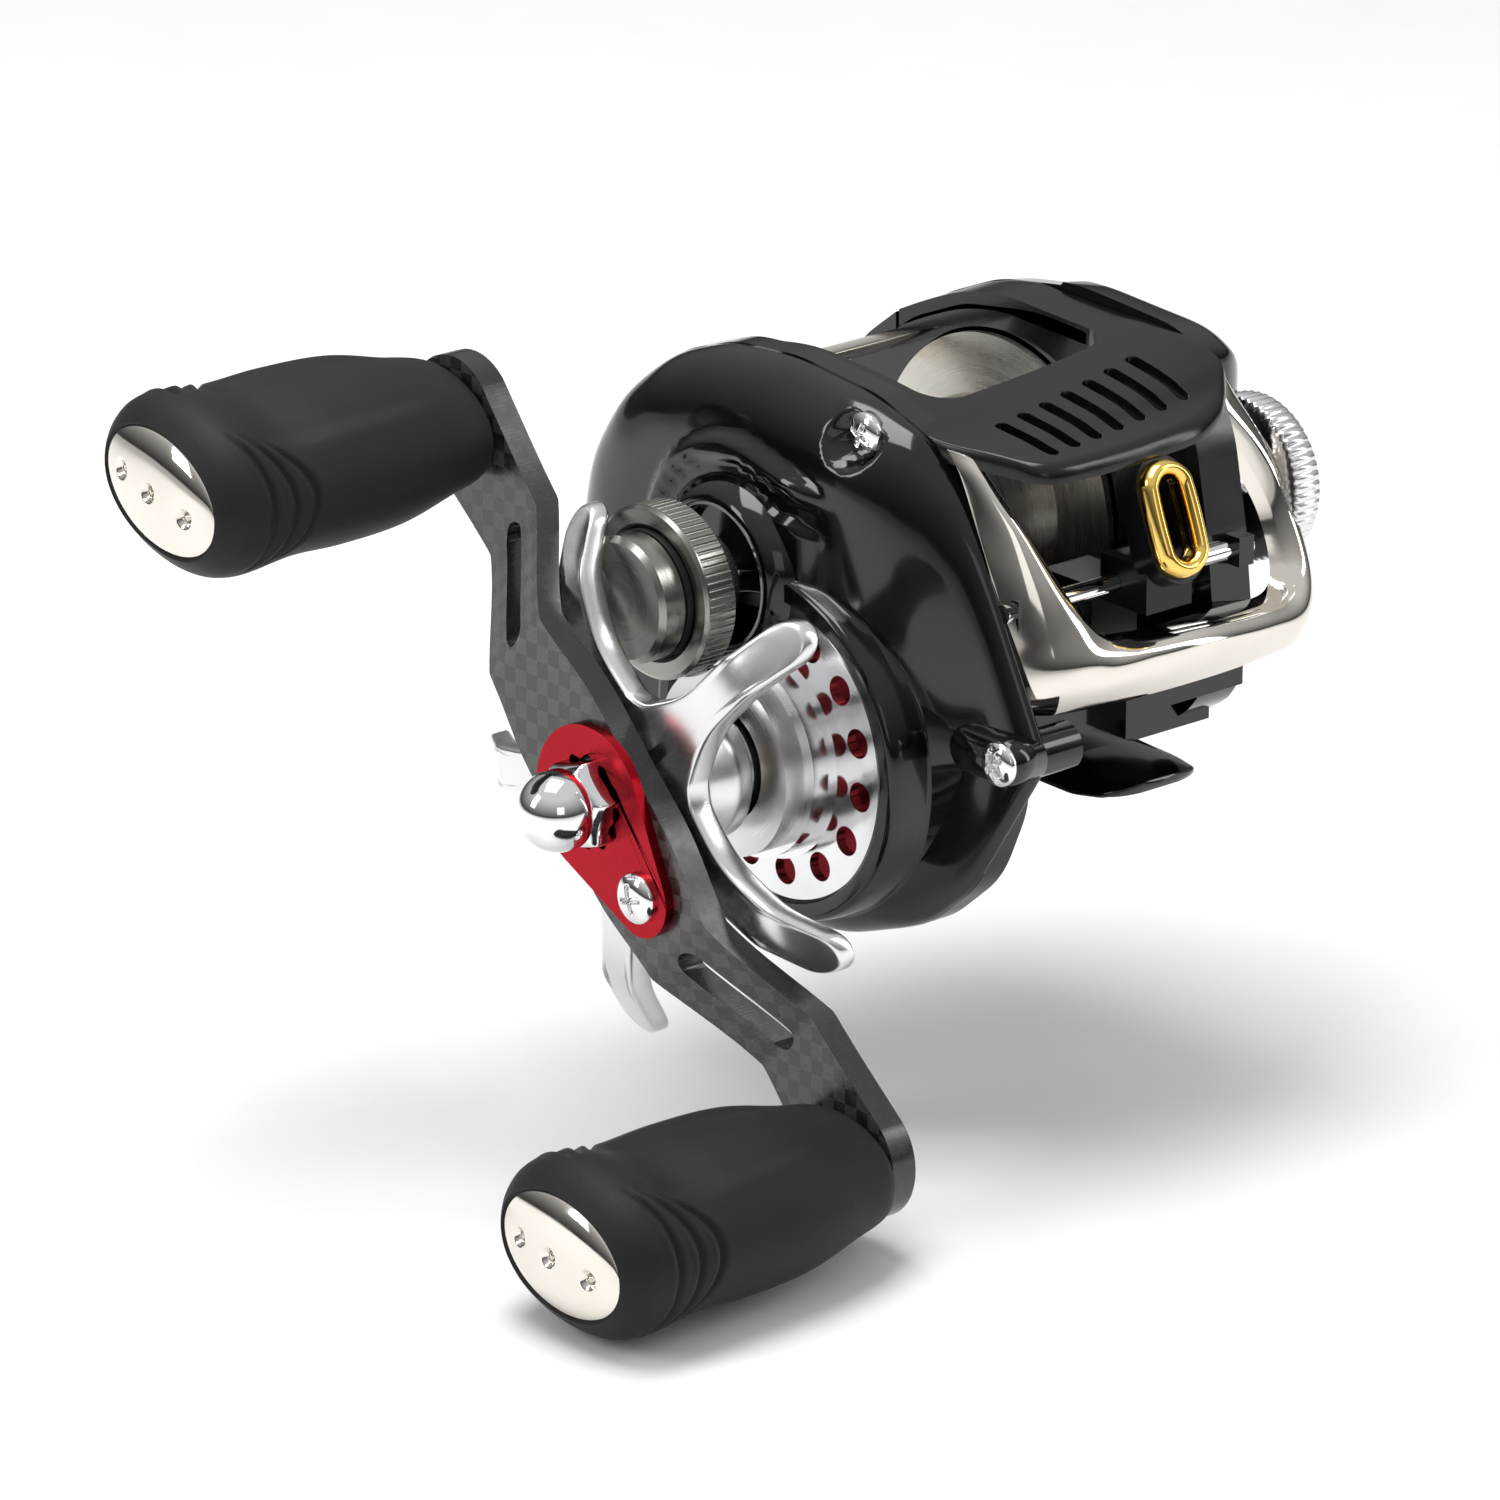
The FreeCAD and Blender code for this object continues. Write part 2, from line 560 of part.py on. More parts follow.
def makeSpindle(sign):
    axis = polar(drive_axis, arm_length / 2 * sign, arm_angle_deg)
    back = arm_end_face + arm_thickness
    pin = cyl(arm_end_face - knob_gap - knob_length + 3.6, back, spindle_radius, axis)
    return fuse(pin, cyl(back, back + 0.9, spindle_radius + 1.3, axis))


def knobSection(x, long_half, short_half, axis, tilt_deg):
    tilt = math.radians(tilt_deg)
    long_axis = V(0, math.cos(tilt), math.sin(tilt))
    ellipse = Part.Ellipse(at(axis, x) + long_axis * long_half, at(axis, x) + V(0, -long_axis.z,
                                                            long_axis.y) * short_half,
                           at(axis, x))
    return Part.Wire(ellipse.toShape())


def makeKnob(sign, tilt_deg):
    axis = polar(drive_axis, arm_length / 2 * sign, arm_angle_deg)
    start = arm_end_face - knob_gap
    sections = [knobSection(start - out, a, b, axis, tilt_deg) for out, a, b in knob_stations]
    knob = Part.makeLoft(sections, True, False)
    knob = knob.cut(cyl(start + 1, start - knob_length + 3.4, spindle_radius + running, axis))
    for near in (0.0, 20.0):
        knob = knob.cut(cyl(start - near, start - near - knob_bearing_width, 3.6, axis))
    return knob.cut(cyl(start - knob_length - 1, start - knob_length + 1.0, 4.6, axis))


def makeKnobCap(sign, tilt_deg):
    axis = polar(drive_axis, arm_length / 2 * sign, arm_angle_deg)
    end = arm_end_face - knob_gap - knob_length
    plug = cyl(end, end + 1.0, 4.6, axis)
    rim = knobSection(end, 8.0, 5.6, axis, tilt_deg)
    top = knobSection(end - 0.9, 6.4, 4.2, axis, tilt_deg)
    return fuse(plug, Part.makeLoft([rim, top], True, True))


def makeKnobBearings(sign):
    axis = polar(drive_axis, arm_length / 2 * sign, arm_angle_deg)
    start = arm_end_face - knob_gap
    return group([ring(start - near, start - near - knob_bearing_width, 3.6, spindle_radius + running, axis)
                  for near in (0.0, 20.0)])


def makeStar():
    near = star_hub_near
    hub = spun(((near, 0), (near, 7.4), (near - 4.0, 7.0), (star_hub_far + 3.0, 5.6), (star_hub_far, 4.6),
                (star_hub_far, 0)), drive_axis)
    star = hub
    for i in range(star_arms):
        turn = star_first_deg + 360.0 / star_arms * i
        line = ((3.5, star_hub_far + 0.9), (15.5, -44.3), (25.0, -42.5), (star_tip_radius, -39.9))
        front = [(r, x - star_thickness / 2) for r, x in line]
        back = [(r, x + star_thickness / 2) for r, x in reversed(line)]
        points = []
        for r, x in front + back:
            spot = polar(drive_axis, r, turn)
            points.append(V(x, spot[0], spot[1]))
        side = V(0, -math.sin(math.radians(turn)), math.cos(math.radians(turn)))
        strip = Part.Face(Part.makePolygon(points + points[:1]))
        strip.translate(side * -6)
        strip = strip.extrude(side * 12)
        outline = []
        for r, w in ((2.0, 4.6), (8.0, 3.4), (20.0, 2.5), (star_tip_radius, 1.9), (star_tip_radius, -1.9),
                     (20.0, -2.5),
                     (8.0, -3.4), (2.0, -4.6)):
            spot = polar(drive_axis, r, turn)
            outline.append(V(-60, spot[0], spot[1]) + side * w)
        blade = strip.common(Part.Face(Part.makePolygon(outline + outline[:1])).extrude(V(40, 0, 0)))
        star = star.fuse(blade)
    star = star.cut(cyl(-60, -20, 3.4 + gap, drive_axis))
    star = star.cut(hexBar(near + 1, near - 5.6, drag_nut_radius + 0.12, drive_axis, star_first_deg))
    return star.removeSplitter()


# ---- spool, brake and clutch ----
def makeSpool():
    inner = arbor_radius - 1.0
    profile = ((-2, spool_shaft_radius), (2, spool_shaft_radius), (2, inner), (spool_right - 1.3, inner),
               (spool_right, spool_radius - 0.8), (spool_right, spool_radius),
               (spool_right - flange_thickness, spool_radius), (spool_right - 2.2, arbor_radius),
               (spool_left + 1.5, arbor_radius), (spool_left + flange_thickness,
                                                  spool_radius), (spool_left, spool_radius),
               (spool_left, spool_radius - 0.8), (spool_left + 0.6, inner), (-2, inner))
    return spun(profile, spool_axis)


def makeShaft():
    shaft = cyl(cap_end + 6.4, palm_face + 0.6, spool_shaft_radius, spool_axis)
    return shaft.cut(Part.makeCylinder(pin_radius, 8, at(spool_axis, pin_x) - V(0, 0, 4)))


def makePinion():
    gear = gearWheel(-22.6, -18.7, spool_axis, pinion_teeth, main_module,
                     mesh_deg + 180 + 180 / pinion_teeth,
                     spool_shaft_radius + running)
    rest = spun(((-24.0, 0), (-24.0, 2.6), (-23.45, 2.6), (-23.45, 1.9), (-22.6, 1.9), (-22.6, 0)),
                spool_axis)
    neck = spun(((-18.7, 0), (-18.7, 1.9), (-16.9, 1.9), (-16.9, 3.6), (-14.7, 3.6), (-14.7, 0)),
                spool_axis)
    slot = box(-15.9, -14.0, spool_axis[0] - pin_radius - 0.1, spool_axis[0] + pin_radius + 0.1, 0, 40)
    body = fuse(gear, rest, neck).cut(cyl(-30, -10, spool_shaft_radius + running, spool_axis))
    return body.cut(slot)


def makeYoke():
    low, high = -23.35, -22.7
    along = V(0, post_axes[1][0] - post_axes[0][0], post_axes[1][1] - post_axes[0][1])
    along.normalize()
    side = V(0, -along.z, along.y)
    start, end = at(post_axes[0], low), at(post_axes[1], low)
    corners = [start - side * 1.2, end - side * 1.2, end + side * 1.2, start + side * 1.2]
    plate = Part.Face(Part.makePolygon(corners + corners[:1])).extrude(V(high - low, 0, 0))
    plate = fuse(plate, *[cyl(low, high, 1.2, spot) for spot in post_axes])
    plate = fuse(plate, cyl(low, high, 4.4, spool_axis))
    mouth = [at(spool_axis, low) - along * 2.1, at(spool_axis, low) + along * 2.1]
    mouth = [mouth[0], mouth[1], mouth[1] - side * 8, mouth[0] - side * 8]
    fork = Part.Face(Part.makePolygon(mouth + mouth[:1])).extrude(V(high - low, 0, 0))
    plate = plate.cut(fork).cut(cyl(-30, -10, 2.1, spool_axis))
    for spot in post_axes:
        plate = plate.cut(cyl(-30, -10, post_radius + running, spot))
    return plate


def makeCam():
    lever = box(wind_far, wind_near, spool_axis[0] + 4.2, spool_axis[0] + 13.0, spool_axis[1] - 1.4,
                spool_axis[1] + 1.4)
    lever.rotate(at(spool_axis), V(1, 0, 0), 35.0)
    return fuse(ring(wind_far, wind_near, 5.1, 4.0, spool_axis), lever).cut(cyl(-30, 0, 4.0, spool_axis))


def makeThumbBar():
    left, right = gear_face + frame_wall + gap, spool_right
    side = ((20.6, 36.4, 0.35), (30.6, 33.2, 1.0), (31.4, 31.2, 0.9), (28.0, 31.4, 1.0), (22.2, 34.8, 0.5))
    bar = prism(side, left, right)
    stem = box(gear_face - 1.0, left + 1, 24.4, 28.0, 31.8, 33.0)
    return bar.fuse(stem).removeSplitter()


# ---- level wind ----
def makeWorm():
    shaft = cyl(-19.6, palm_face - 0.6, worm_journal, worm_axis)
    body_start, body_end = -12.6, 12.2
    body = cyl(body_start, body_end, worm_radius, worm_axis)
    worm = fuse(shaft, body)
    turns = math.floor((body_end - body_start - worm_groove) / worm_pitch * 2)
    for i in range(turns + 1):
        x = body_start + worm_groove + worm_pitch / 2 * i
        worm = worm.cut(ring(x - worm_groove / 2, x + worm_groove / 2, worm_radius + 1, worm_radius - 0.4,
                             worm_axis))
    return worm


def ovalWire(x_half, z_half, plane_y):
    """Upright oval in a plane across Y: two half circles joined by straight sides."""
    straight = z_half - x_half
    top, low = V(x_half, plane_y, straight), V(x_half, plane_y, -straight)
    low_left, top_left = V(-x_half, plane_y, -straight), V(-x_half, plane_y, straight)
    return Part.Wire([Part.LineSegment(low, top).toShape(),
                      Part.Arc(top, V(0, plane_y, z_half), top_left).toShape(),
                      Part.LineSegment(top_left, low_left).toShape(),
                      Part.Arc(low_left, V(0, plane_y, -z_half), low).toShape()])


def leaning(shape):
    """Tilt a piece built about the ring's centre back by its lean, then set it in place."""
    shape.rotate(V(0, 0, 0), V(1, 0, 0), -ring_lean_deg)
    shape.translate(ring_centre)
    return shape


def makeRing():
    outer = Part.Face(ovalWire(3.3, 6.3, -1.2)).extrude(V(0, 2.6, 0))
    hole = Part.Face(ovalWire(1.7, 4.4, -3)).extrude(V(0, 6, 0))
    return leaning(outer.cut(hole))


def makeCarriage():
    backing = Part.Face(ovalWire(3.6, 6.8, 0.2)).extrude(V(0, 3.2, 0))
    backing = backing.cut(Part.Face(ovalWire(3.3, 6.3, -1)).extrude(V(0, 2.4, 0)))
    backing = leaning(backing.cut(Part.Face(ovalWire(1.7, 4.4, -3)).extrude(V(0, 9, 0))))
    x = ring_centre.x
    arm = box(x - 3.2, x + 3.2, -28.4, -12.6, 19.8, 24.9)
    block = fuse(arm, box(x - 3.2, x + 3.2, -20.2, -12.8, 12.6, 20.6))
    block = block.cut(box(x - 4, x + 4, rod_axis[0] + 2.2, -10, 20.9, 26))
    carriage = fuse(backing, block)
    carriage = carriage.cut(leaning(Part.Face(ovalWire(1.7, 4.4, -6)).extrude(V(0, 14, 0))))
    carriage = carriage.cut(leaning(Part.Face(ovalWire(3.3, 6.3, -8)).extrude(V(0, 9.4, 0))))
    carriage = carriage.cut(cyl(x - 9, x + 9, guide_rod_radius + running, rod_axis))
    carriage = carriage.cut(cyl(x - 9, x + 9, worm_radius + 0.12, worm_axis))
    pawl_hole = Part.makeCylinder(1.3, 4, V(x, worm_axis[0], worm_axis[1] - worm_radius - 4.0))
    return carriage.cut(pawl_hole)


# ---- fixed places worked out from the driving sizes ----
rivet_spots = ((0.0, -10.5), (-4.0, 10.5), (4.0, 10.5))
post_turn = mesh_deg - 90
post_radius = 0.7
post_axes = (polar(spool_axis, 6.25, post_turn), polar(spool_axis, 6.25, post_turn + 180))
rod_lug_spans = ((gear_face + 0.9, gear_face + frame_wall), (palm_face - frame_wall, palm_face - 0.9))
hood_room = 6.2  # height kept free over the foot's ends for the rod's hoods
cover_skin = 1.6
slot_count = 7
slot_pitch = 3.3
slot_half_width = 0.75
first_slot_x = -9.8
screw_recess_radius = 2.6
screw_seat = gear_face - 2.5
recess_floor = lobe_face + 0.5 + flange_thickness_drag + backing_thickness
cover_near = lobe_face - 3.8
spool_bearing_far = -31.2
wind_near, wind_far = -17.7, -18.5
knob_gap = 0.5
knob_bearing_width = 2.5
retainer_thickness = 1.1
nut_radius = 5.1
retainer_axis = polar(drive_axis, 11.5, arm_angle_deg + 180)
star_hub_near = -35.8
star_hub_far = arm_centre_face + arm_thickness + 0.6
drag_nut_radius = 4.4
pin_x = -15.2
pin_radius = 0.5
dial_radius = 9.0
dial_near = palm_face + 8.5
dial_thickness = 3.8
ring_lean_deg = 22.0
ring_centre = V(1.5, -28.6, 29.7)

wind_first = wind_module * (wind_drive_teeth + wind_idler_teeth) / 2
wind_second = wind_module * (wind_idler_teeth + wind_worm_teeth) / 2
wind_span = distance(drive_axis, worm_axis)
wind_foot = (wind_span ** 2 + wind_first ** 2 - wind_second ** 2) / (2 * wind_span)
wind_rise = math.sqrt(wind_first ** 2 - wind_foot ** 2)
wind_turn = direction(drive_axis, worm_axis)
idler_axis = polar(polar(drive_axis, wind_foot, wind_turn), wind_rise, wind_turn + 90)
idler_phase = direction(idler_axis, drive_axis) + 180.0 / wind_idler_teeth
drive_phase = direction(drive_axis, idler_axis)
idler_to_worm = direction(idler_axis, worm_axis)
tooth_steps = (idler_to_worm - idler_phase) / (360.0 / wind_idler_teeth)
worm_phase = idler_to_worm + 180 + (0.5 - (tooth_steps - math.floor(tooth_steps))) * -360.0 / wind_worm_teeth

washer_far = main_gear_far - drag_washer_thickness * drag_washer_count

save("frame", makeFrame())
save("reel_foot", makeFoot())
save("foot_rivets", group([makeRivet(x, y) for x, y in rivet_spots]))
save("handle_side_plate", makeGearPlate())
save("side_plate_screws", group([
    makeScrew(ear_axis, gear_face - shoulder_depth - 1.0, 8.0),
    makeScrew(upper_screw_axis, screw_seat, 4.5),
    makeScrew(rear_screw_axis, screw_seat, 4.5)]))
save("palm_side_plate", makePalmPlate())
save("top_cover", makeTopCover())
save("nose_cover", makeNoseCover())
save("drag_escutcheon", makeEscutcheon())
save("escutcheon_backing", makeRedRing())
save("roller_clutch", ring(-29.6, -25.0, 7.9, 5.6, drive_axis))
save("clutch_cover", ring(-33.9, cover_near, drum_radius, 6.2, drive_axis).cut(
    cyl(-60, 0, cap_radius + gap, spool_axis)))
save("drive_shaft_bearing", ring(gear_face + 0.2, gear_face + 2.4, bearing_radius,
                                 drive_shaft_radius + running, drive_axis))
save("pinion_bearing", ring(gear_face + 0.7, gear_face + 2.7, bearing_radius + 0.5, 3.65, spool_axis))
save("spool_bearings", group([
    ring(spool_bearing_far, spool_bearing_far + 2.2, bearing_radius, spool_shaft_radius + running,
         spool_axis),
    ring(palm_face - 2.2, palm_face, 4.0, spool_shaft_radius + running, spool_axis)]))
save("guide_rod", cyl(gear_face + 0.2, palm_face - 0.2, guide_rod_radius, rod_axis))
save("worm_bushes", group([
    ring(gear_face + 0.2, gear_face + frame_wall, 3.4, worm_journal + running, worm_axis),
    ring(palm_face - 2.6, palm_face - 0.4, 3.4, worm_journal + running, worm_axis)]))
save("idler_stud", fuse(cyl(gear_face + 2.0, wind_far - 0.2, 1.0, idler_axis),
                        cyl(wind_far - 0.05, wind_far - 0.2, 1.7, idler_axis)))
save("yoke_posts", group([cyl(gear_face + 1.6, -24.9, post_radius, spot) for spot in post_axes]))

save("drive_shaft", makeDriveShaft())
save("main_gear", gearWheel(main_gear_far, main_gear_near, drive_axis, main_teeth, main_module, mesh_deg,
                            drive_shaft_radius))
save("drag_washers", group([
    ring(main_gear_far - drag_washer_thickness * (i + 1), main_gear_far - drag_washer_thickness * i,
          drag_radius - 0.5 * (i % 2), drive_shaft_radius, drive_axis) for i in range(drag_washer_count)]))
save("pressure_plate", ring(washer_far - 0.6, washer_far, drag_radius - 0.6, drive_shaft_radius,
                            drive_axis))
save("clutch_sleeve", ring(-34.3, washer_far - 0.6, 5.5, drive_shaft_radius, drive_axis))
save("spring_washers", group([ring(-34.8, -34.3, 5.2, drive_shaft_radius, drive_axis),
                              ring(-35.3, -34.8, 5.2, drive_shaft_radius, drive_axis)]))
save("wind_drive_gear", gearWheel(wind_far, wind_near, drive_axis, wind_drive_teeth, wind_module,
                                  drive_phase,
                                  drive_shaft_radius))
save("crank_arm", makeArm())
save("handle_nut", makeNut())
save("nut_retainer", makeRetainer())
save("retainer_screw", makeScrew(retainer_axis, arm_centre_face - retainer_thickness, 3.0))
save("knob_spindles", group([makeSpindle(1), makeSpindle(-1)]))
for name, sign, tilt in (("upper", 1, knob_tilts[0]), ("lower", -1, knob_tilts[1])):
    save("knob_" + name, makeKnob(sign, tilt))
    save("knob_cap_" + name, makeKnobCap(sign, tilt))
    save("knob_bearings_" + name, makeKnobBearings(sign))
save("star_drag", makeStar())
save("drag_nut", hexBar(-36.0 - 3.0, -35.6, drag_nut_radius, drive_axis, star_first_deg).cut(
    cyl(-60, -20, drive_shaft_radius + running, drive_axis)))

save("spool", makeSpool())
save("spool_shaft", makeShaft())
save("spool_pin", Part.makeCylinder(pin_radius, 6.2, at(spool_axis, pin_x) - V(0, 0, 3.1)))
save("brake_rotor", fuse(ring(2.0, 2.8, 9.7, spool_shaft_radius, spool_axis), ring(2.8, 15.5, 9.7, 9.0,
                                                            spool_axis)))
save("pinion", makePinion())
save("clutch_yoke", makeYoke())
save("clutch_cam", makeCam())
save("thumb_bar", makeThumbBar())
save("wind_idler", gearWheel(wind_far, wind_near, idler_axis, wind_idler_teeth, wind_module, idler_phase,
                             1.0 + running))
save("worm_shaft", makeWorm())
save("worm_gear", gearWheel(wind_far, wind_near, worm_axis, wind_worm_teeth, wind_module, worm_phase,
                            worm_journal))
save("line_guide_carriage", makeCarriage())
save("line_guide_ring", makeRing())
save("pawl", Part.makeCylinder(1.2, 2.0, V(ring_centre.x, worm_axis[0], worm_axis[1] - worm_radius - 2.2)))
save("pawl_cap", Part.makeCylinder(1.3, 1.6, V(ring_centre.x, worm_axis[0],
                                               worm_axis[1] - worm_radius - 3.8)))


def makeCap():
    skirt = cap_front + cap_skirt
    cap = spun(((skirt, cap_bore), (skirt, cap_radius - 0.3), (skirt - 0.3, cap_radius),
                (cap_front + 0.3, cap_radius), (cap_front, cap_radius - 0.4), (cap_front,
                                                            cap_end_radius + 0.55),
                (cap_front + 0.8, seal_bore), (cap_front - 0.6, seal_bore), (cap_front - 0.9,
                                                            cap_end_radius),
                (cap_end + 0.5, cap_end_radius), (cap_end, cap_end_radius - 0.65), (cap_end,
                                                            0), (cap_end + 3.4, 0),
                (cap_end + 3.4, seal_bore - 1.2), (cap_front + 1.2, seal_bore - 1.2), (cap_front + 1.2,
                                                            cap_bore)),
               spool_axis)
    for i in range(knurl_count):
        spot = polar(spool_axis, cap_radius + 0.12, 360.0 / knurl_count * i)
        cap = cap.cut(cyl(cap_front + 0.5, skirt + 0.2, 0.25, spot))
    return cap


save("cast_control_cap", makeCap())
save("cap_seal", ring(cap_front - 0.6, cap_front + 0.2, cap_end_radius + 0.05, seal_bore, spool_axis))
save("tension_washer", cyl(cap_end + 3.4, cap_end + 4.4, seal_bore - 2.7, spool_axis))

dial_far = dial_near + dial_thickness
dial = spun(((dial_near, 1.5 + running), (dial_near, dial_radius - 0.3), (dial_near + 0.3, dial_radius),
             (dial_far - 0.3, dial_radius), (dial_far, dial_radius - 0.3), (dial_far, 1.5 + running)), dial_axis)
save("brake_dial", dial)
holder = fuse(ring(palm_face - 0.3, palm_face + 0.9, 14.0, 5.4, spool_axis), ring(12.6, palm_face - 0.3,
                                                            14.0, 11.8, spool_axis))
save("magnet_holder", holder)
magnet_band = ring(12.8, palm_face - 0.6, 11.8, 10.2, (0, 0))
magnets = [box(12.8, palm_face - 0.6, 9.0, 13.0, -1.6, 1.6).common(magnet_band) for i in range(8)]
for i, magnet in enumerate(magnets):
    magnet.rotate(V(0, 0, 0), V(1, 0, 0), 45.0 * i)
    magnet.translate(at(spool_axis))
save("brake_magnets", group(magnets))
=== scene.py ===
import bpy
import bmesh
import json
from functools import partial
from math import acos, atan2, copysign, cos, exp, hypot, pi, radians, sin, sqrt
from mathutils import Vector, Matrix


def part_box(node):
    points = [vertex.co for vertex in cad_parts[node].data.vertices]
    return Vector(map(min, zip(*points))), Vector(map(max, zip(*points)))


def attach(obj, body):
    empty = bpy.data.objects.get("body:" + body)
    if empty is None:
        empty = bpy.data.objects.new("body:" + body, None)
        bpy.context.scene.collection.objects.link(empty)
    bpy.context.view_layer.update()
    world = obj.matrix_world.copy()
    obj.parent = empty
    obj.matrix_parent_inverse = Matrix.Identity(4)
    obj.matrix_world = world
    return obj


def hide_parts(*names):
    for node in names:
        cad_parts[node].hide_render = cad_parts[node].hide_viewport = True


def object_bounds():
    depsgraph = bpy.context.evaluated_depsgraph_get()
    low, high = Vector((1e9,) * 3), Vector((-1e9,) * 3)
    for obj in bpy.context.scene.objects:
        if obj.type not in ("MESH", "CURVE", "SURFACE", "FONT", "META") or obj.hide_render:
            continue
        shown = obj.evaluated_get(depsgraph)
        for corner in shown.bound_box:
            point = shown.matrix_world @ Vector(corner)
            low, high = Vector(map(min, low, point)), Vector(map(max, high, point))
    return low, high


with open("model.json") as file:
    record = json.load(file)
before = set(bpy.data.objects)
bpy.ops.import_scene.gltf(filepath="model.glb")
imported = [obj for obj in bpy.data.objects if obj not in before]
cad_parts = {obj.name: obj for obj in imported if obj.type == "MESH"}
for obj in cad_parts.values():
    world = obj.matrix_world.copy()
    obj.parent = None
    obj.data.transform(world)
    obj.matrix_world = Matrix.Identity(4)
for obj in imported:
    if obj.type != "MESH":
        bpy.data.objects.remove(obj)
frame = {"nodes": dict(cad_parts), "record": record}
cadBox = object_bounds()
nodes = frame["nodes"]
mm = 0.001
print("frame loaded,", len(nodes), "CAD nodes")


# small helpers
def axisOf(*names):
    # the middle (y, z) of some CAD nodes, in mm
    low = [min(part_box(n)[0][i] for n in names) for i in range(3)]
    high = [max(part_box(n)[1][i] for n in names) for i in range(3)]
    return ((low[1] + high[1]) / 2 / mm, (low[2] + high[2]) / 2 / mm)


driveAxis = axisOf("drive_shaft")
spoolAxis = axisOf("spool")
upperKnobAxis = axisOf("knob_bearings_upper")
lowerKnobAxis = axisOf("knob_bearings_lower")
dialAxis = axisOf("brake_dial")
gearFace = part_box("handle_side_plate")[1].x / mm
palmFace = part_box("palm_side_plate")[0].x / mm + 2.2
armTurn = atan2(upperKnobAxis[1] - driveAxis[1], upperKnobAxis[0] - driveAxis[0])


def finishPiece(piece, material, body, replaces=(), smooth=True):
    piece.data.materials.clear()
    piece.data.materials.append(material)
    for face in piece.data.polygons:
        face.use_smooth = smooth
    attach(piece, body)
    if replaces:
        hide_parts(*replaces)
    return piece


def addObject(name, data):
    made = bpy.data.objects.new(name, data)
    bpy.context.scene.collection.objects.link(made)
    return made


def meshPiece(name, points, faces):
    # a new piece from points in mm and its faces
    data = bpy.data.meshes.new(name)
    data.from_pydata([[c * mm for c in p] for p in points], [], faces)
    data.validate()
    work = bmesh.new()
    work.from_mesh(data)
    bmesh.ops.recalc_face_normals(work, faces=work.faces)
    work.to_mesh(data)
    work.free()
    return addObject(name, data)


def skinRings(name, rings, closed=True, caps=(True, True), loopOver=False):
    # skin a row of rings that all have the same number of points
    count = len(rings[0])
    points = [p for ring in rings for p in ring]
    faces = []
    rows = len(rings) if loopOver else len(rings) - 1
    for i in range(rows):
        j = (i + 1) % len(rings)
        for k in range(count if closed else count - 1):
            n = (k + 1) % count
            faces.append((i * count + k, i * count + n, j * count + n, j * count + k))
    for want, row in zip(caps, (0, len(rings) - 1)):
        if want and not loopOver:
            middle = [sum(p[i] for p in rings[row]) / count for i in range(3)]
            points.append(middle)
            hub = len(points) - 1
            for k in range(count):
                faces.append((row * count + k, row * count + (k + 1) % count, hub))
    return meshPiece(name, points, faces)


def around(steps):
    # angles evenly round a circle
    return [2 * pi * k / steps for k in range(steps)]


def polar(axis, radius, angle, x):
    # a point about an axis along X
    return (x, axis[0] + radius * cos(angle), axis[1] + radius * sin(angle))


def circle(axis, radius, x, steps):
    # ring of points about an axis along X
    return [polar(axis, radius, angle, x) for angle in around(steps)]


def turned(name, profile, axis, steps=128, loopOver=False):
    # a turned piece: (x, radius) points spun about an axis along X
    rings = [circle(axis, r, x, steps) for x, r in profile]
    return skinRings(name, rings, caps=(False, False) if loopOver else (True, True), loopOver=loopOver)


def softEdges(piece, width, segments=3, angle=35.0):
    edge = piece.modifiers.new("soft edges", "BEVEL")
    edge.width = width * mm
    edge.segments = segments
    edge.limit_method = "ANGLE"
    edge.angle_limit = radians(angle)
    edge.harden_normals = False
    return piece


def flowNormals(piece):
    piece.modifiers.new("flow", "WEIGHTED_NORMAL").keep_sharp = True
    return piece


def catmull(stations, t):
    # smooth value at t from (t, values...) stations
    i = 0
    while i < len(stations) - 2 and t > stations[i + 1][0]:
        i += 1
    a, b = stations[i], stations[i + 1]
    before = stations[max(i - 1, 0)]
    after = stations[min(i + 2, len(stations) - 1)]
    u = min(max((t - a[0]) / (b[0] - a[0]), 0.0), 1.0)
    values = []
    for k in range(1, len(a)):
        slopeA = (b[k] - before[k]) / (b[0] - before[0]) * (b[0] - a[0])
        slopeB = (after[k] - a[k]) / (after[0] - a[0]) * (b[0] - a[0])
        values.append((2 * u ** 3 - 3 * u ** 2 + 1) * a[k] + (u ** 3 - 2 * u ** 2 + u) * slopeA
                      + (3 * u ** 2 - 2 * u ** 3) * b[k] + (u ** 3 - u ** 2) * slopeB)
    return values


def easeStep(a, b, x):
    u = min(max((x - a) / (b - a), 0.0), 1.0)
    return u * u * (3 - 2 * u)


# finishes
def nodeOf(material, kind, inputs=(), **values):
    made = material.node_tree.nodes.new(kind)
    for key, value in values.items():
        setattr(made, key, value)
    for socket, value in dict(inputs).items():
        made.inputs[socket].default_value = value
    return made


def startFinish(name, look):
    material = bpy.data.materials.new(name)
    material.use_nodes = True
    shader = material.node_tree.nodes["Principled BSDF"]
    for socket, key, usual in (("Metallic", "metallic", 0.0), ("IOR", "ior", 1.5),
                               ("Coat Weight", "coat", 0.0), ("Coat Roughness", "coatRough", 0.05),
                               ("Sheen Weight", "sheen", 0.0), ("Sheen Roughness", "sheenRough", 0.4),
                               ("Specular IOR Level", "specular", 0.5)):
        shader.inputs[socket].default_value = look.get(key, usual)
    return material, shader


def place(material, stretch=(1, 1, 1), turn=(0, 0, 0)):
    # object coordinates in metres, turned and stretched
    links = material.node_tree.links
    coords = nodeOf(material, "ShaderNodeTexCoord")
    mapping = nodeOf(material, "ShaderNodeMapping", {"Scale": stretch, "Rotation": turn})
    links.new(coords.outputs["Object"], mapping.inputs["Vector"])
    return mapping.outputs["Vector"]


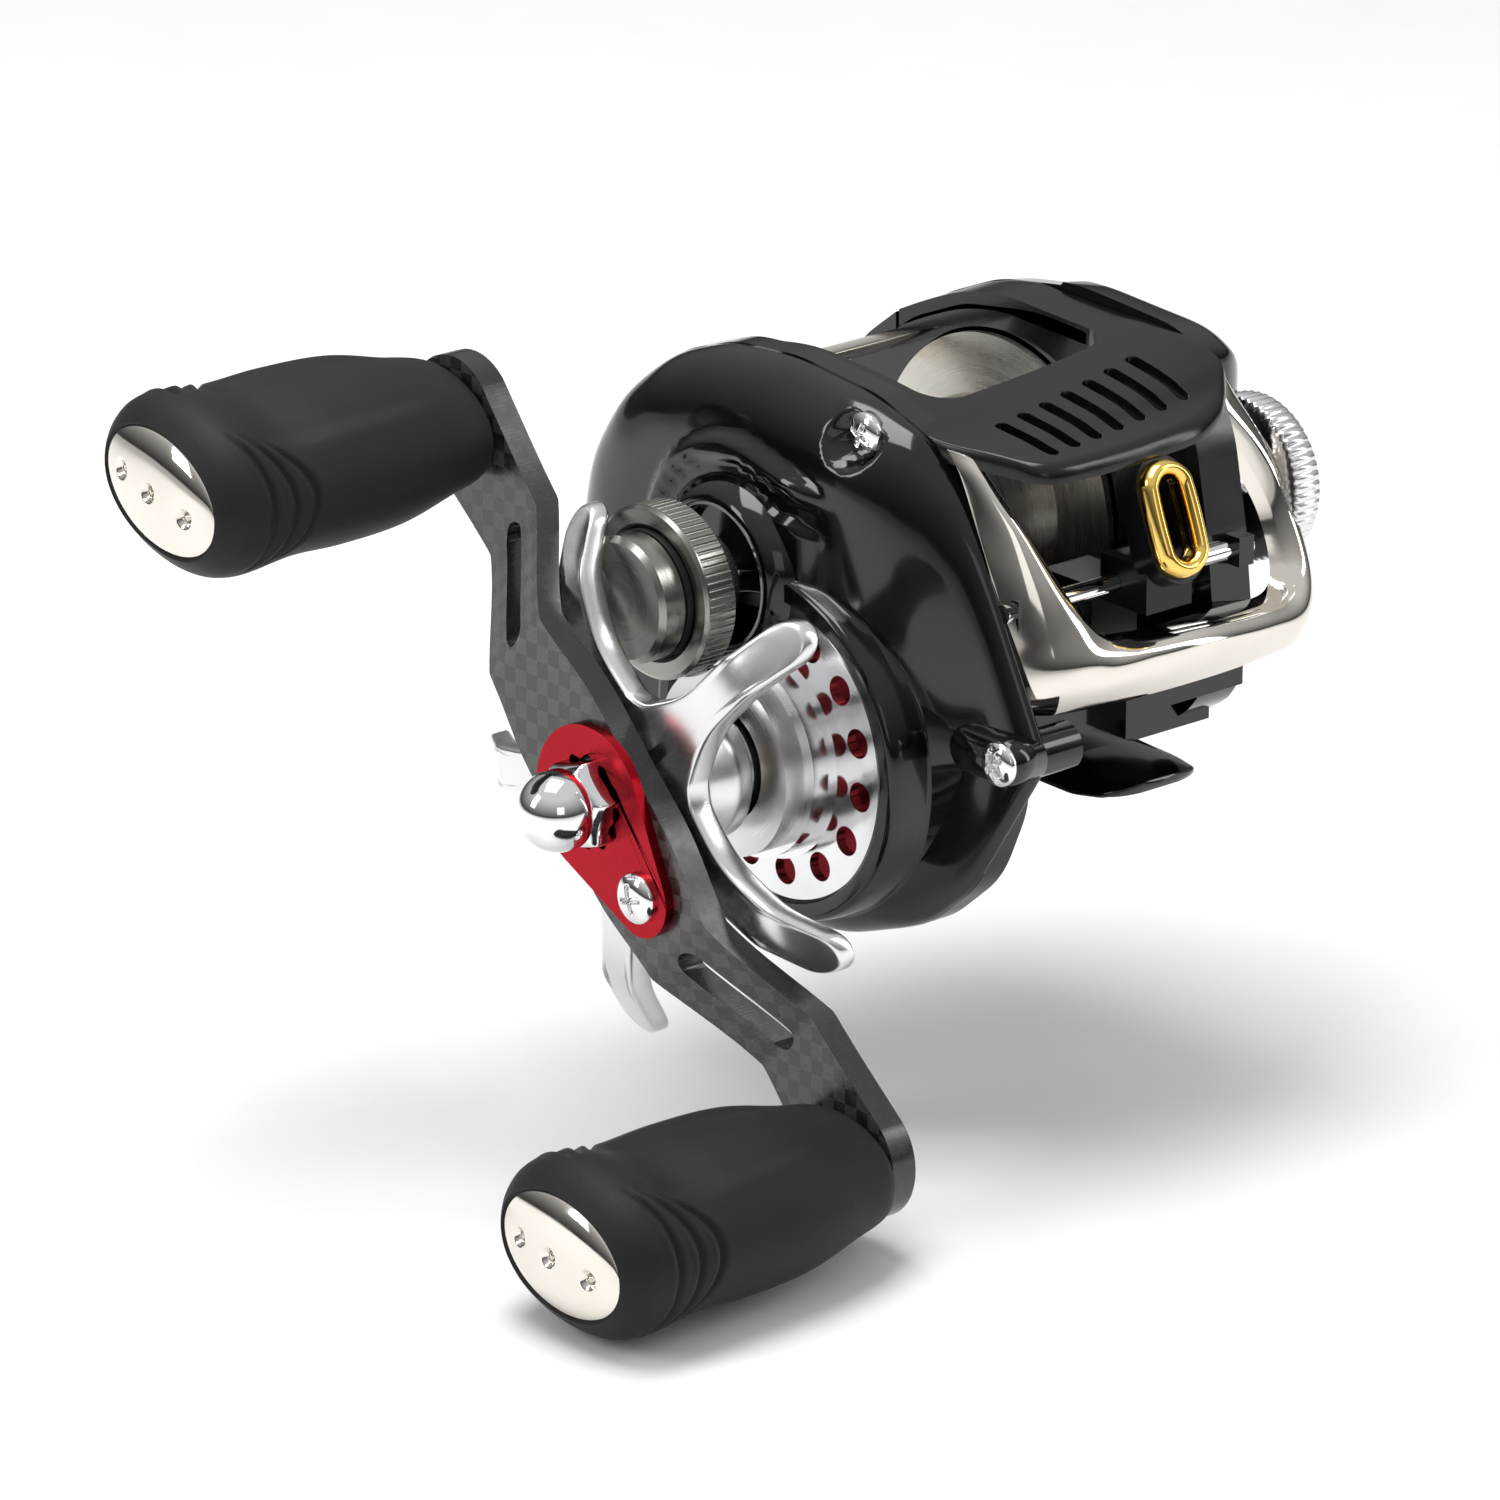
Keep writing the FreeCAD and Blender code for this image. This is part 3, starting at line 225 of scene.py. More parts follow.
def grain(material, vector, scale, detail=3.0, rough=0.55):
    texture = nodeOf(material, "ShaderNodeTexNoise", {"Scale": scale, "Detail": detail, "Roughness": rough})
    material.node_tree.links.new(vector, texture.inputs["Vector"])
    return texture.outputs["Fac"]


def spread(material, source, low, high, fromLow=0.3, fromHigh=0.7):
    # map a 0 to 1 texture onto a range of plain numbers
    ramp = nodeOf(material, "ShaderNodeMapRange", {
        "From Min": fromLow, "From Max": fromHigh, "To Min": low, "To Max": high})
    material.node_tree.links.new(source, ramp.inputs["Value"])
    return ramp.outputs["Result"]


def tint(material, source, dark, light):
    # two colours mixed by a texture
    mix = nodeOf(material, "ShaderNodeMix", data_type="RGBA")
    mix.inputs["A"].default_value = (*dark, 1)
    mix.inputs["B"].default_value = (*light, 1)
    material.node_tree.links.new(source, mix.inputs["Factor"])
    return mix.outputs["Result"]


def calc(material, operation, a, b=None):
    made = nodeOf(material, "ShaderNodeMath", operation=operation)
    for socket, value in zip(made.inputs, (a, b)):
        if value is None:
            continue
        if isinstance(value, (int, float)):
            socket.default_value = value
        else:
            material.node_tree.links.new(value, socket)
    return made.outputs["Value"]


def raised(material, shader, height, strength, distance):
    bump = nodeOf(material, "ShaderNodeBump", {"Strength": strength, "Distance": distance * mm})
    material.node_tree.links.new(height, bump.inputs["Height"])
    material.node_tree.links.new(bump.outputs["Normal"], shader.inputs["Normal"])


def paintFinish(name, look):
    # paint, moulded plastic or rubber: slight colour and gloss change over a fine grain
    material, shader = startFinish(name, look)
    links = material.node_tree.links
    vector = place(material)
    broad = grain(material, vector, look.get("broad", 90.0))
    fine = grain(material, vector, look["grainScale"], 2.0)
    base = look["colour"]
    lift = look.get("lift", 1.35)
    links.new(tint(material, spread(material, broad, 0, 1), base, tuple(c * lift for c in base)),
              shader.inputs["Base Color"])
    links.new(spread(material, broad, look["rough"][0], look["rough"][1]), shader.inputs["Roughness"])
    raised(material, shader, fine, look.get("bump", 0.1), look.get("bumpDepth", 0.02))
    return material


def metalFinish(name, look):
    # metal with turned, brushed or blasted marks and a little handling haze
    material, shader = startFinish(name, {**look, "metallic": 1.0})
    links, op = material.node_tree.links, partial(calc, material)
    vector = place(material, look.get("stretch", (1, 1, 1)), look.get("turn", (0, 0, 0)))
    plain = place(material)
    if "turnedAbout" in look:
        # distance from the axis and station along it, so that marks run round the piece
        split = nodeOf(material, "ShaderNodeSeparateXYZ")
        links.new(plain, split.inputs["Vector"])
        across = op("SUBTRACT", split.outputs["Y"], look["turnedAbout"][0] * mm)
        up = op("SUBTRACT", split.outputs["Z"], look["turnedAbout"][1] * mm)
        radius = op("SQRT", op("ADD", op("MULTIPLY", across, across),
                                             op("MULTIPLY", up, up)))
        join = nodeOf(material, "ShaderNodeCombineXYZ")
        links.new(radius, join.inputs["X"])
        links.new(split.outputs["X"], join.inputs["Y"])
        vector = join.outputs["Vector"]
    marks = grain(material, vector, look["grainScale"], 4.0)
    haze = grain(material, plain, look.get("broad", 120.0))
    base = look["colour"]
    dark = tuple(c * look.get("drop", 0.9) for c in base)
    links.new(tint(material, spread(material, haze, 0, 1), dark, base), shader.inputs["Base Color"])
    both = op("ADD", op("MULTIPLY", marks, 0.6), op("MULTIPLY", haze, 0.4))
    links.new(spread(material, both, look["rough"][0], look["rough"][1]), shader.inputs["Roughness"])
    raised(material, shader, marks, look.get("bump", 0.1), look.get("bumpDepth", 0.01))
    return material


def carbonFinish(name, look):
    # woven laminate: a check of two thread directions on the faces, plies on the edges
    material, shader = startFinish(name, look)
    links, op = material.node_tree.links, partial(calc, material)
    vector = place(material, turn=(-armTurn - radians(45), 0, 0))
    split = nodeOf(material, "ShaderNodeSeparateXYZ")
    links.new(vector, split.inputs["Vector"])
    size = look["cell"] * mm
    alongCell = op("DIVIDE", split.outputs["Y"], size)
    acrossCell = op("DIVIDE", split.outputs["Z"], size)
    checkSum = op("ADD", op("FLOOR", alongCell), op("FLOOR", acrossCell))
    check = op("MODULO", op("ABSOLUTE", checkSum), 2.0)
    threads = [op("PINGPONG", op("MULTIPLY", cell, look["threads"]), 0.5)
               for cell in (alongCell, acrossCell)]
    swells = [op("PINGPONG", cell, 0.5) for cell in (alongCell, acrossCell)]
    weave = nodeOf(material, "ShaderNodeMix", data_type="FLOAT")
    links.new(check, weave.inputs["Factor"])
    links.new(op("ADD", threads[0], swells[1]), weave.inputs["A"])
    links.new(op("ADD", threads[1], swells[0]), weave.inputs["B"])
    mottle = grain(material, vector, 700.0)
    faceTone = op("ADD", op("MULTIPLY", check, 0.55), op("MULTIPLY", mottle, 0.5))
    normal = nodeOf(material, "ShaderNodeTexCoord")
    facing = nodeOf(material, "ShaderNodeSeparateXYZ")
    links.new(normal.outputs["Normal"], facing.inputs["Vector"])
    flat = op("GREATER_THAN", op("ABSOLUTE", facing.outputs["X"]), 0.4)
    plies = op("PINGPONG", op("DIVIDE", split.outputs["X"], look["ply"] * mm), 0.5)
    tone = nodeOf(material, "ShaderNodeMix", data_type="FLOAT")
    links.new(flat, tone.inputs["Factor"])
    links.new(op("MULTIPLY", plies, 0.5), tone.inputs["A"])
    links.new(faceTone, tone.inputs["B"])
    links.new(tint(material, spread(material, tone.outputs["Result"], 0, 1, 0.1, 0.9), look["dark"],
                   look["light"]),
              shader.inputs["Base Color"])
    links.new(spread(material, mottle, look["rough"][0], look["rough"][1]), shader.inputs["Roughness"])
    raised(material, shader, weave.outputs["Result"], look["bump"], 0.03)
    return material


# maker, name, colour, roughness from and to, grain, bump and what else the finish needs
finishRows = {
    "glossBlack": (paintFinish, "gloss black enamel", (0.0028, 0.0028, 0.0032), (0.08, 0.16), 5200.0, 0.035,
        {"coat": 0.25, "coatRough": 0.04, "bumpDepth": 0.008, "specular": 0.42}),
    "satinBlack": (paintFinish, "satin black enamel", (0.0035, 0.0035, 0.004), (0.16, 0.24), 3600.0, 0.08,
        {"coat": 0.1, "coatRough": 0.15, "specular": 0.36, "bumpDepth": 0.012}),
    "brightNickel": (metalFinish, "warm bright nickel", (0.80, 0.755, 0.69), (0.045, 0.11), 260.0, 0.02,
        {"drop": 0.94}),
    "chrome": (metalFinish, "polished chrome", (0.88, 0.88, 0.89), (0.04, 0.10), 900.0, 0.03,
        {"drop": 0.93}),
    "escutcheonChrome": (metalFinish, "cast chrome", (0.86, 0.86, 0.87), (0.10, 0.22), 330.0, 0.22,
        {"bumpDepth": 0.05, "drop": 0.86}),
    "satinSilver": (metalFinish, "satin silver", (0.78, 0.78, 0.79), (0.20, 0.27), 4200.0, 0.025,
        {"drop": 0.95}),
    "turnedSilver": (metalFinish, "turned silver", (0.74, 0.73, 0.72), (0.24, 0.36), 5200.0, 0.10,
        {"turnedAbout": driveAxis, "drop": 0.95}),
    "spoolSatin": (metalFinish, "satin spool metal", (0.70, 0.675, 0.62), (0.22, 0.34), 3800.0, 0.12,
        {"turnedAbout": spoolAxis, "drop": 0.92}),
    "gunmetal": (metalFinish, "turned gunmetal", (0.33, 0.32, 0.295), (0.17, 0.30), 4600.0, 0.14,
        {"turnedAbout": spoolAxis, "drop": 0.85}),
    "redAnodised": (metalFinish, "red anodised", (0.40, 0.008, 0.018), (0.22, 0.34), 2600.0, 0.08,
        {"turnedAbout": driveAxis, "drop": 0.88}),
    "deepRed": (metalFinish, "deep red lining", (0.15, 0.003, 0.008), (0.16, 0.28), 1800.0, 0.2,
        {"drop": 0.7}),
    "gold": (metalFinish, "polished gold ring", (0.98, 0.66, 0.17), (0.07, 0.16), 700.0, 0.04,
        {"drop": 0.93}),
    "steel": (metalFinish, "ground steel", (0.62, 0.62, 0.63), (0.16, 0.30), 4200.0, 0.10,
        {"stretch": (1, 8, 8), "drop": 0.9}),
    "brass": (metalFinish, "machined brass", (0.80, 0.58, 0.26), (0.20, 0.34), 3600.0, 0.12,
        {"turnedAbout": driveAxis, "drop": 0.85}),
    "champagne": (metalFinish, "champagne satin", (0.72, 0.66, 0.57), (0.20, 0.30), 3900.0, 0.07,
        {"stretch": (1, 6, 6), "drop": 0.94}),
    "magnet": (metalFinish, "plated magnet", (0.55, 0.55, 0.56), (0.12, 0.24), 2200.0, 0.08, {"drop": 0.88}),
    "knobFoam": (paintFinish, "soft matt knob", (0.0062, 0.0064, 0.0069), (0.54, 0.66), 3300.0, 0.42,
        {"bumpDepth": 0.05, "sheen": 0.03, "specular": 0.30, "lift": 1.25}),
    "blackPlastic": (paintFinish, "moulded black plastic", (0.004, 0.004, 0.0045), (0.22, 0.34), 2600.0, 0.1,
        {"specular": 0.3, "bumpDepth": 0.02}),
    "rubber": (paintFinish, "black rubber", (0.012, 0.012, 0.012), (0.38, 0.52), 3000.0, 0.2,
        {"bumpDepth": 0.02})}
finishes = {key: make(title, {"colour": colour, "rough": rough, "grainScale": scale, "bump": bump, **more})
            for key, (make, title, colour, rough, scale, bump, more) in finishRows.items()}
finishes["carbon"] = carbonFinish("woven carbon", {
    "cell": 1.75, "threads": 7, "ply": 0.42, "dark": (0.007, 0.007, 0.008), "light": (0.058, 0.056, 0.053),
    "rough": (0.20, 0.34), "bump": 0.16, "coat": 0.35, "coatRough": 0.14})
print("finishes made:", len(finishes))

slotFinish = {
    "gloss_black": "glossBlack", "satin_black": "satinBlack", "bright_front": "brightNickel",
    "chrome": "chrome", "satin_silver": "satinSilver", "spool_satin": "spoolSatin", "gunmetal": "gunmetal",
    "red_anodised": "redAnodised", "carbon": "carbon", "knob_foam": "knobFoam", "gold": "gold",
    "black_plastic": "blackPlastic", "steel": "steel", "brass_gear": "brass", "seal_rubber": "rubber",
    "magnet": "magnet"}
ownFinish = {
    "drag_escutcheon": "escutcheonChrome", "escutcheon_backing": "deepRed", "clutch_cover": "turnedSilver"}

# every CAD node starts with the finish of its slot; detailed pieces below stand for the visible ones
for row in frame["record"]["subparts"]:
    node = nodes[row["node"]]
    chosen = ownFinish.get(row["node"], slotFinish[row["material_slot"]])
    node.data.materials.clear()
    node.data.materials.append(finishes[chosen])

# camera, light and floor
cameraLook = {"azimuth": -40.823, "elevation": 20.005, "roll": 0.101, "distance": 998.9, "lens": 230.15,
              "aim": (-26.5, 1.1, 3.2), "aimAcross": 0.01740, "aimUp": 0.00233}


def makeCamera(look):
    # aimAcross and aimUp: where the aimed point sits from the middle, as shares of the picture's width
    a, e = radians(look["azimuth"]), radians(look["elevation"])
    back = Vector((sin(a) * cos(e), -cos(a) * cos(e), sin(e)))
    right = Vector((0, 0, 1)).cross(back).normalized()
    up = back.cross(right)
    roll = radians(look["roll"])
    right, up = right * cos(roll) + up * sin(roll), up * cos(roll) - right * sin(roll)
    data = bpy.data.cameras.new("camera")
    data.lens = look["lens"]
    data.sensor_width = 36.0
    data.clip_start, data.clip_end = 0.05, 40.0
    data.dof.use_dof = False
    reach = look["distance"] * data.sensor_width / data.lens
    where = Vector(look["aim"]) + back * look["distance"]
    where = where - (right * look["aimAcross"] + up * look["aimUp"]) * reach
    camera = addObject("camera", data)
    turn = Matrix((right, up, back)).transposed().to_4x4()
    camera.matrix_world = Matrix.Translation(where * mm) @ turn
    bpy.context.scene.camera = camera
    return back, right, up


viewBack, viewRight, viewUp = makeCamera(cameraLook)

lampLooks = {
    "overhead softbox": {"across": -0.10, "up": 0.62, "out": 0.18, "size": (0.50, 0.34), "power": 3.4},
    "left softbox": {"across": -0.70, "up": 0.30, "out": 0.34, "size": (0.20, 0.42), "power": 1.7},
    "right strip": {"across": 0.62, "up": 0.24, "out": 0.10, "size": (0.12, 0.55), "power": 1.0},
    "front fill": {"across": 0.15, "up": -0.02, "out": 0.85, "size": (0.30, 0.30), "power": 0.25}}


def makeLamp(name, look):
    target = Vector((-15, 0, 10)) * mm
    data = bpy.data.lights.new(name, "AREA")
    data.shape = "RECTANGLE"
    data.size, data.size_y = look["size"]
    data.energy = look["power"]
    lamp = addObject(name, data)
    lamp.location = target + viewRight * look["across"] + viewUp * look["up"] + viewBack * look["out"]
    lamp.rotation_mode = "QUATERNION"
    lamp.rotation_quaternion = (target - lamp.location).to_track_quat("-Z", "Y")
    return lamp


for lampName, lampLook in lampLooks.items():
    makeLamp(lampName, lampLook)

studio = {"dark": 0.06, "bright": 0.95, "strength": 0.72, "floorTone": (0.93, 0.93, 0.925)}


def makeWorld(look):
    world = bpy.data.worlds.new("studio")
    world.use_nodes = True
    bpy.context.scene.world = world
    tree = world.node_tree
    coords = tree.nodes.new("ShaderNodeTexCoord")
    split = tree.nodes.new("ShaderNodeSeparateXYZ")
    ramp = tree.nodes.new("ShaderNodeValToRGB")
    tree.links.new(coords.outputs["Generated"], split.inputs["Vector"])
    tree.links.new(split.outputs["Z"], ramp.inputs["Fac"])
    ramp.color_ramp.elements[0].position = 0.02
    ramp.color_ramp.elements[0].color = (look["dark"],) * 3 + (1,)
    ramp.color_ramp.elements[1].position = 0.75
    ramp.color_ramp.elements[1].color = (look["bright"],) * 3 + (1,)
    tree.links.new(ramp.outputs["Color"], tree.nodes["Background"].inputs["Color"])
    tree.nodes["Background"].inputs["Strength"].default_value = look["strength"]


makeWorld(studio)


def makeFloor(look):
    low = cadBox[0].z
    half = 6.0
    data = bpy.data.meshes.new("floor")
    data.from_pydata([(-half, -half, low), (half, -half, low), (half, half, low), (-half, half, low)], [],
                     [(0, 1, 2, 3)])
    floor = addObject("floor", data)
    data.materials.append(paintFinish("pale floor", {
        "colour": look["floorTone"], "rough": (0.7, 0.8), "grainScale": 300.0, "bump": 0.02, "lift": 1.01}))


makeFloor(studio)
bpy.context.scene.view_settings.view_transform = "Standard"
print("camera, lamps and floor are in place")

# knobs and their end caps
knob = {
    "stations": ((0.0, 7.2, 4.8), (0.5, 8.0, 5.3), (1.8, 8.8, 5.7), (5.0, 9.6, 6.3), (12.0, 11.0, 8.0),
                 (20.0, 11.5, 8.3), (27.0, 11.7, 7.8), (33.0, 11.9, 8.7), (35.2, 11.5, 8.5),
                 (36.6, 10.7, 7.8), (37.5, 9.9, 6.95), (38.0, 9.25, 6.3)),
    "rings": 210, "sides": 168, "roundness": 2.15,
    # each groove: where it starts from the arm, how strongly it bends, how far round it reaches
    "grooves": ((32.0, 0.8, 54.0), (29.1, 1.6, 52.0), (26.3, 2.5, 47.0)), "grooveMiddle": 161.0,
    "bendOver": 35.0, "grooveFade": 3.5, "grooveLip": (0.22, 2.2, 1.3), "dishBend": (0.035, 19.0),
    "dishFade": 14.0, "dishAlong": (5.0, 12.0, 26.0, 31.5), "grooveDeep": 0.62, "grooveWide": 0.40,
    "dishDeep": 0.55, "dishEdge": 128.0, "cap": (9.1, 6.15), "capRise": 1.5, "dimples": (-5.3, 0.4, 5.3),
    # each sunk step of a dimple: depth, where its wall starts and ends
    "sinks": ((0.55, 0.45, 1.25), (0.9, 0.38, 0.55)),
    # rings that close the outer end: share of the cap's size, distance back
    "closing": ((1.0, 0.35), (0.96, 0.7), (0.5, 0.75)), "tilts": {"upper": 15.0, "lower": 7.0}}


def ovalPoint(x, angle, longHalf, shortHalf, axis, tilt, roundness=2.0, drop=0.0):
    c, s = cos(angle), sin(angle)
    u = longHalf * copysign(abs(c) ** (2 / roundness), c)
    v = shortHalf * copysign(abs(s) ** (2 / roundness), s) + drop
    return (x, axis[0] + u * cos(tilt) - v * sin(tilt), axis[1] + u * sin(tilt) + v * cos(tilt))


def knobCut(out, turn):
    # how deep the grooves and the thumb dish cut at a place on the grip
    look = knob
    cut = 0.0
    for side in (turn, (180 - turn) % 360):
        off = side - look["grooveMiddle"]
        for base, bend, reach in look["grooves"]:
            if abs(off) < reach:
                line = base + bend * (off / look["bendOver"]) ** 2
                near = (out - line) / look["grooveWide"]
                if abs(near) < 6:
                    fade = min((1 - abs(off) / reach) * look["grooveFade"], 1.0)
                    lip, away, wide = look["grooveLip"]
                    valley = exp(-near * near) - lip * exp(-((near - away) / wide) ** 2)
                    cut += look["grooveDeep"] * fade * valley
    bow, middle = look["dishBend"]
    edge = look["dishEdge"] - bow * (out - middle) ** 2
    across = abs(turn - 90) + 90 if turn < 270 else 400
    inside = 1 - easeStep(edge - look["dishFade"], edge, across)
    a, b, c, d = look["dishAlong"]
    along = easeStep(a, b, out) * (1 - easeStep(c, d, out))
    return cut + look["dishDeep"] * inside * along


def makeKnob(which, axis, tilt, body):
    look = knob
    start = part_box("knob_" + which)[1].x / mm
    length = look["stations"][-1][0]
    rings = []
    for i in range(look["rings"] + 1):
        out = length * (1 - (1 - i / look["rings"]) ** 1.2)
        longHalf, shortHalf = catmull(look["stations"], out)
        ring = []
        for k in range(look["sides"]):
            turn = 360.0 * k / look["sides"]
            cut = knobCut(out, turn)
            ring.append(ovalPoint(start - out, radians(turn), longHalf - cut, shortHalf - cut, axis, tilt,
                                  look["roundness"]))
        rings.append(ring)
    for shrink, back in look["closing"]:
        rings.append([ovalPoint(start - length + back, 2 * pi * k / look["sides"],
                                look["cap"][0] * shrink, look["cap"][1] * shrink, axis, tilt)
                      for k in range(look["sides"])])
    piece = skinRings("knob_grip_" + which, rings)
    finishPiece(piece, finishes["knobFoam"], body, ["knob_" + which])
    makeKnobCap(which, axis, tilt, body, start - length + 0.25)


def makeKnobCap(which, axis, tilt, body, end):
    look = knob
    rings = []
    for i in range(1, 61):
        t = i / 60
        rise = look["capRise"] * max(1 - t ** 2.4, 0.0) ** 0.75
        ring = []
        for k in range(180):
            angle = 2 * pi * k / 180
            u = look["cap"][0] * t * cos(angle)
            v = look["cap"][1] * t * sin(angle)
            sink = 0.0
            for spot in look["dimples"]:
                far = hypot(u - spot, v)
                for deep, near, edge in look["sinks"]:
                    sink += deep * (1 - easeStep(near, edge, far))
            ring.append((end - rise + sink, axis[0] + u * cos(tilt) - v * sin(tilt),
                         axis[1] + u * sin(tilt) + v * cos(tilt)))
        rings.append(ring)
    rings.append([(end + 0.4, p[1], p[2]) for p in rings[-1]])
    piece = skinRings("knob_end_" + which, rings)
    finishPiece(piece, finishes["brightNickel"], body, ["knob_cap_" + which])


makeKnob("upper", upperKnobAxis, radians(knob["tilts"]["upper"]), "upper_knob")
makeKnob("lower", lowerKnobAxis, radians(knob["tilts"]["lower"]), "lower_knob")
print("knobs made")

# crank arm
arm = {
    "half": 45.0, "thick": 3.0, "endFace": -43.8, "midFace": -51.0, "bendIn": 18.5, "bendOut": 31.0,
    "endRound": 6.6, "waist": 5.3, "middle": 7.4, "slotLong": 13.0, "slotWide": 3.3, "slotCentre": 25.2}


def armPoint(along, across, x):
    return (x, driveAxis[0] + along * cos(armTurn) - across * sin(armTurn),
            driveAxis[1] + along * sin(armTurn) + across * cos(armTurn))


def armFace(along):
    # station of the arm's outer face at a distance from the middle
    look = arm
    share = easeStep(look["bendIn"] - 1.0, look["bendOut"] + 1.0, abs(along))
    straight = min(max((abs(along) - look["bendIn"]) / (look["bendOut"] - look["bendIn"]), 0.0), 1.0)
    share = share * 0.25 + straight * 0.75
    return look["midFace"] + (look["endFace"] - look["midFace"]) * share


def armHalfWidth(along):
    look = arm
    half = look["half"]
    out = abs(along)
    if out > half:
        return sqrt(max(look["endRound"] ** 2 - (out - half) ** 2, 0.0))
    stations = ((0.0, look["middle"]), (9.0, look["middle"]), (17.0, look["waist"] + 0.7),
                (24.0, look["waist"]), (33.0, look["waist"] + 0.1), (half, look["endRound"]))
    return catmull(stations, out)[0]


def makeCrankArm():
    look = arm
    end = look["half"] + look["endRound"]
    rows, straightTo = 181, 0.92   # the rows crowd together past this share, round the ends
    outline = []
    for i in range(rows):
        t = -1 + 2 * i / (rows - 1)
        if abs(t) > straightTo:
            along = end * sin(t * pi / 2)
        else:
            along = end * sin(straightTo * pi / 2) * t / straightTo
        outline.append((along, armHalfWidth(along)))
    lanes = (-1.0, -0.6, -0.2, 0.2, 0.6, 1.0)
    points, faces = [], []
    for side in (0, 1):
        for along, width in outline:
            for lane in lanes:
                points.append(armPoint(along, width * lane, armFace(along)
                                       + (look["thick"] if side else 0.0)))
    count, total = len(lanes), rows * len(lanes)
    for side in (0, 1):
        for i in range(rows - 1):
            for k in range(count - 1):
                a = side * total + i * count + k
                faces.append((a, a + 1, a + 1 + count, a + count))
    for k in (0, count - 1):
        for i in range(rows - 1):
            a = i * count + k
            faces.append((a, a + count, a + count + total, a + total))
    for i in (0, rows - 1):
        for k in range(count - 1):
            a = i * count + k
            faces.append((a, a + 1, a + 1 + total, a + total))
    piece = meshPiece("carbon_arm", points, faces)
    cutters = []
    for sign in (-1, 1):
        loop = []
        for angle in around(48):
            shift = look["slotLong"] / 2 - look["slotWide"] / 2
            along = look["slotCentre"] * sign + copysign(shift, cos(angle)) \
                + look["slotWide"] / 2 * cos(angle)
            loop.append((along, look["slotWide"] / 2 * sin(angle)))
        cutters.append(skinRings("slot cutter", [[armPoint(a, c, x) for a, c in loop] for x in (-60, -30)]))
    cutOut(piece, cutters)
    softEdges(piece, 0.28, 2, 50)
    flowNormals(piece)
    finishPiece(piece, finishes["carbon"], "crank", ["crank_arm"])


def cutOut(piece, cutters, solver="EXACT"):
    # cut other shapes out of a piece and keep only the result
    for cutter in cutters:
        cut = piece.modifiers.new("cut", "BOOLEAN")
        cut.operation = "DIFFERENCE"
        cut.solver = solver
        cut.object = cutter
    bpy.context.view_layer.update()
    graph = bpy.context.evaluated_depsgraph_get()
    result = bpy.data.meshes.new_from_object(piece.evaluated_get(graph))
    piece.modifiers.clear()
    piece.data = result
    for cutter in cutters:
        bpy.data.objects.remove(cutter)
    return piece


makeCrankArm()
print("crank arm made")

# star drag
star = {
    "first": radians(61.9), "arms": 5, "tip": 29.7, "near": -35.8, "bore": 3.75, "web": 10.2, "webRise": 1.6,
    "tipRound": 2.5, "barHalf": 2.45, "rootGrow": 2.9, "rootFrom": 18.0, "flare": 3.2, "boss": 1.1,
    "hubRound": 4.6, "flareFall": 2.1, "bossEdge": 8.4,
    # rings over the rim: inset from the outline, lift in half thicknesses
    "rim": ((0.36, -1.0), (0.20, -0.95), (0.07, -0.82), (0.0, -0.62), (0.0, 0.62), (0.07, 0.82), (0.20, 0.95),
            (0.36, 1.0)), "shares": (0.34, 0.42, 0.52, 0.64, 0.76, 0.86, 0.94),
    # distance from the axis, station of the plate's middle, half thickness
    "line": ((0.0, -46.0, 1.3), (5.0, -45.9, 1.3), (9.0, -45.6, 1.35), (13.0, -45.3, 1.45),
             (18.0, -44.9, 1.5), (21.6, -44.5, 1.5), (22.8, -44.15, 1.5), (24.0, -43.5, 1.45),
             (27.0, -41.6, 1.35), (29.7, -39.9, 1.1))}


def starEdge(angle):
    # distance from the axis to the outline: webs between the arms, then nearly parallel bars with round tips
    look = star
    pitch = 2 * pi / look["arms"]
    off = (angle - look["first"] + pitch / 2) % pitch - pitch / 2
    tipRound = look["tipRound"]
    best = look["web"] + look["webRise"] * (1 - min(abs(off) / (pitch / 2), 1.0)) ** 1.5
    r = look["tip"]
    while r > best:
        if r > look["tip"] - tipRound:
            half = sqrt(max(tipRound ** 2 - (r - look["tip"] + tipRound) ** 2, 0.0))
        else:
            half = look["barHalf"] + look["rootGrow"] * max((look["rootFrom"] - r) / 8.0, 0.0) ** 2.2
        if abs(r * sin(off)) <= half:
            return r
        r -= 0.05
    return best


def starOutline(steps):
    # even spacing along the outline, found from a fine sweep by angle
    fine = []
    for k in range(7200):
        angle = 2 * pi * k / 7200
        r = starEdge(angle)
        fine.append((r * cos(angle), r * sin(angle)))
    walk = [0.0]
    for a, b in zip(fine, fine[1:] + fine[:1]):
        walk.append(walk[-1] + hypot(b[0] - a[0], b[1] - a[1]))
    total, spots, k = walk[-1], [], 0
    for i in range(steps):
        goal = total * i / steps
        while walk[k + 1] < goal:
            k += 1
        share = (goal - walk[k]) / max(walk[k + 1] - walk[k], 1e-9)
        a, b = fine[k], fine[(k + 1) % len(fine)]
        spots.append((a[0] + (b[0] - a[0]) * share, a[1] + (b[1] - a[1]) * share))
    for _ in range(14):
        count = len(spots)
        spots = [((spots[n - 1][0] + 2 * spots[n][0] + spots[(n + 1) % count][0]) / 4,
                  (spots[n - 1][1] + 2 * spots[n][1] + spots[(n + 1) % count][1]) / 4) for n in range(count)]
    return spots


